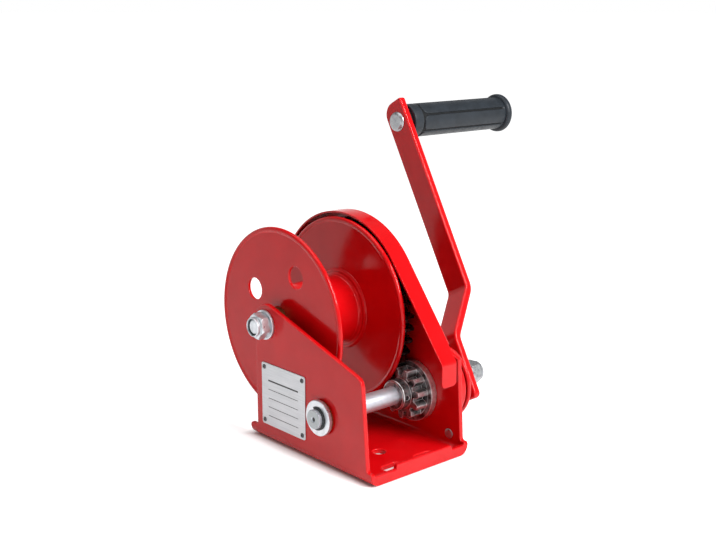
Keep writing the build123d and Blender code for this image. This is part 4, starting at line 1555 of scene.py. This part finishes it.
@dataclass(frozen=True)
class Studio:
    """Pale floor, soft light and the camera at the photograph's angle."""

    camera_place: Place = (-0.57025, -0.6483, 0.3456)
    view_direction: Place = (0.6437, 0.7307, -0.2277)
    roll: float = math.radians(0.09)
    lens: float = 57.14
    sensor: float = 36.0
    clip: Span = (0.01, 50.0)
    light_level: float = 0.05
    zenith: float = 0.25
    ceiling_rise: Span = (0.05, 0.60)
    floor_colour: Colour = (0.86, 0.86, 0.86)
    floor_roughness: float = 0.6
    floor_reach: float = 40.0
    floor_drop: float = 0.2 * MM
    glow: Span = (0.62, 0.98)
    glow_reach: Span = (0.5, 2.5)
    cover: Span = (0.047, 0.070)
    cover_fade: float = 0.012
    target: Place = (0.03, 0.02, 0.10)
    lamps: tuple[Lamp, ...] = (
        Lamp("key", (0.35, -1.35, 1.15), 0.9, 40.0),
        Lamp("top", (-0.1, 0.1, 1.7), 1.4, 13.0),
        Lamp("side", (-0.62, 0.10, 0.20), 0.5, 0.7),
    )

    def camera(self) -> None:
        """Makes the camera."""
        data = bpy.data.cameras.new("photo_camera")
        data.lens = self.lens
        data.sensor_width = self.sensor
        data.clip_start, data.clip_end = self.clip
        holder = bpy.data.objects.new("photo_camera", data)
        bpy.context.scene.collection.objects.link(holder)
        ahead = Vector(self.view_direction).normalized()
        right = ahead.cross(Vector((0.0, 0.0, 1.0))).normalized()
        upward = right.cross(ahead)
        turned_right = right * math.cos(self.roll) + upward * math.sin(self.roll)
        turned_up = upward * math.cos(self.roll) - right * math.sin(self.roll)
        basis = Matrix((turned_right, turned_up, -ahead)).transposed().to_4x4()
        holder.matrix_world = Matrix.Translation(self.camera_place) @ basis
        bpy.context.scene.camera = holder

    @staticmethod
    def seen_directly(graph: NodeGraph) -> Socket:
        """1 for rays from the camera and for mirrored and refracted rays.

        Args:
            graph: The graph that asks.

        Returns:
            The value.
        """
        path = graph.add("ShaderNodeLightPath")
        seen = path.outputs["Is Camera Ray"]
        for kind in ("Is Glossy Ray", "Is Transmission Ray"):
            seen = graph.calculate("MAXIMUM", seen, path.outputs[kind])
        return seen

    def world(self) -> None:
        """Makes the surroundings: white to the sides, with a dimmer ceiling for mirrored rays."""
        world = bpy.data.worlds.new("studio")
        world.use_nodes = True
        graph = NodeGraph(world.node_tree)
        graph.tree.nodes.clear()
        output = graph.add("ShaderNodeOutputWorld")
        heading = graph.add("ShaderNodeSeparateXYZ")
        graph.join(graph.add("ShaderNodeTexCoord").outputs["Generated"], heading.inputs["Vector"])
        ceiling = graph.spread(heading.outputs["Z"], (1.0, self.zenith), self.ceiling_rise)
        choose = graph.add("ShaderNodeMixShader")
        graph.join(self.seen_directly(graph), choose.inputs["Fac"])
        for target, strength in zip(choose.inputs[1:], (self.light_level, ceiling)):
            background = graph.add("ShaderNodeBackground")
            graph.feed(background.inputs["Color"], WHITE)
            graph.feed(background.inputs["Strength"], strength)
            graph.join(background.outputs["Background"], target)
        graph.join(choose.outputs["Shader"], output.inputs["Surface"])
        bpy.context.scene.world = world

    def open_floor(self, graph: NodeGraph, place: Socket) -> Socket:
        """0 on the part of the floor that the base covers, 1 outside it.

        Args:
            graph: The floor's graph.
            place: Place on the floor.

        Returns:
            The value.
        """
        spot = graph.add("ShaderNodeSeparateXYZ")
        graph.join(place, spot.inputs["Vector"])
        sides = []
        for way, half in zip("XY", self.cover):
            away = graph.calculate("ABSOLUTE", spot.outputs[way])
            sides.append(graph.spread(away, RISING, (half, half + self.cover_fade)))
        return graph.calculate("MAXIMUM", *sides)

    def floor_material(self) -> Material:
        """Pale material that glows towards the camera, and more so far away.

        Returns:
            The material.
        """
        material = bpy.data.materials.new("floor")
        material.use_nodes = True
        graph = NodeGraph(material.node_tree)
        shader = graph.tree.nodes["Principled BSDF"]
        graph.feed(shader.inputs["Base Color"], self.floor_colour)
        graph.feed(shader.inputs["Roughness"], self.floor_roughness)
        graph.feed(shader.inputs["Specular IOR Level"], 0.0)
        graph.feed(shader.inputs["Emission Color"], WHITE)
        place = graph.add("ShaderNodeTexCoord").outputs["Object"]
        away = graph.add("ShaderNodeVectorMath")
        away.operation = "LENGTH"
        graph.join(place, away.inputs[0])
        glow = graph.spread(away.outputs["Value"], self.glow, self.glow_reach)
        glow = graph.calculate("MULTIPLY", glow, self.open_floor(graph, place))
        glow = graph.calculate("MULTIPLY", glow, self.seen_directly(graph))
        graph.join(glow, shader.inputs["Emission Strength"])
        return material

    def floor(self) -> None:
        """Makes the floor."""
        reach = self.floor_reach
        corners = [(-reach, -reach, 0.0), (reach, -reach, 0.0), (reach, reach, 0.0), (-reach, reach, 0.0)]
        mesh = bpy.data.meshes.new("floor")
        mesh.from_pydata(corners, [], [(0, 1, 2, 3)])
        mesh.materials.append(self.floor_material())
        floor = bpy.data.objects.new("floor", mesh)
        floor.location.z = -self.floor_drop
        bpy.context.scene.collection.objects.link(floor)
        floor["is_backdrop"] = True

    def build(self) -> None:
        """Builds the whole studio."""
        self.camera()
        self.world()
        self.floor()
        for lamp in self.lamps:
            lamp.build(self.target)
        bpy.context.scene.view_settings.view_transform = "Standard"


def main() -> None:
    """Builds the winch's looks in order."""
    logging.basicConfig(level=logging.INFO, format="%(name)s: %(message)s")
    bench = Bench()
    bench.load()
    shaft_axis = bench.axes["crank_spin"]
    drum_axis = bench.axes["drum_spin"]
    red = PowderCoat("red_powder_coat", Slot.RED_PAINT)
    zinc = ZincPlate("bright_zinc", Slot.ZINC)
    dull_zinc = ZincPlate(
        "dull_zinc",
        Slot.ZINC,
        colour=(0.42, 0.43, 0.44),
        patch=(0.30, 0.31, 0.33),
        roughness=(0.23, 0.40),
    )
    rivet_zinc = ZincPlate(
        "rivet_zinc",
        Slot.ZINC,
        colour=(0.11, 0.11, 0.115),
        patch=(0.06, 0.06, 0.065),
        roughness=(0.25, 0.42),
    )
    black = BlackSteel("black_phosphate", Slot.BLACK_STEEL)
    bronze = BearingBronze("bearing_bronze", Slot.BRONZE)
    nylon = MouldedPlastic("nylon_ring", Slot.NYLON)
    lining = MouldedPlastic(
        "brake_lining",
        Slot.FRICTION,
        colour=(0.05, 0.038, 0.03),
        patch=(0.22, 0.15, 0.07),
        mottle=Noise(1.2 * MM, 3.0),
        roughness=(0.62, 0.80),
    )
    ink = MouldedPlastic(
        "label_ink",
        Slot.NYLON,
        colour=(0.03, 0.03, 0.033),
        patch=(0.05, 0.05, 0.055),
        mottle=Noise(1.0 * MM, 3.0),
        roughness=(0.42, 0.60),
    )
    bright = TurnedMetal("turned_shaft", Slot.ZINC, shaft_axis, bench.span("pinion_shaft"))
    sleeve = TurnedMetal("turned_sleeve", Slot.STEEL, drum_axis, bench.span("axle_sleeve"))
    pinion_steel = RunPinion("run_pinion_steel", Slot.STEEL, shaft_axis)
    # Dark steel for the big gear: partly grease, partly painted shade for its place under the guard
    gear_steel_with_painted_shade = CutSteel(
        "greased_gear_steel",
        Slot.STEEL,
        colour=(0.16, 0.15, 0.145),
        grease=(0.03, 0.028, 0.027),
        greasy=(0.28, 0.52),
    )
    brake_steel = CutSteel(
        "cut_brake_steel",
        Slot.STEEL,
        colour=(0.40, 0.39, 0.38),
        grease=(0.09, 0.08, 0.075),
        greasy=(0.455, 0.695),
    )
    rubber = MouldedRubber("moulded_grip", Slot.GRIP_RUBBER)
    aluminium = SatinAluminium("satin_label", Slot.LABEL)
    FrameSet(bench, red, dull_zinc, black, bronze).build()
    NamePlate(bench, aluminium, rivet_zinc, ink).build()
    AxleSet(bench, zinc, nylon, sleeve).build()
    DrumSet(bench, red, gear_steel_with_painted_shade, bronze).build()
    ShaftSet(bench, bright, pinion_steel, zinc, black).build()
    BrakeSet(bench, red, dull_zinc, brake_steel, lining, bronze).build()
    CrankSet(bench, red, dull_zinc, nylon, black).build()
    GripSet(bench, rubber).build()
    Studio().build()


if __name__ == "__main__":
    main()
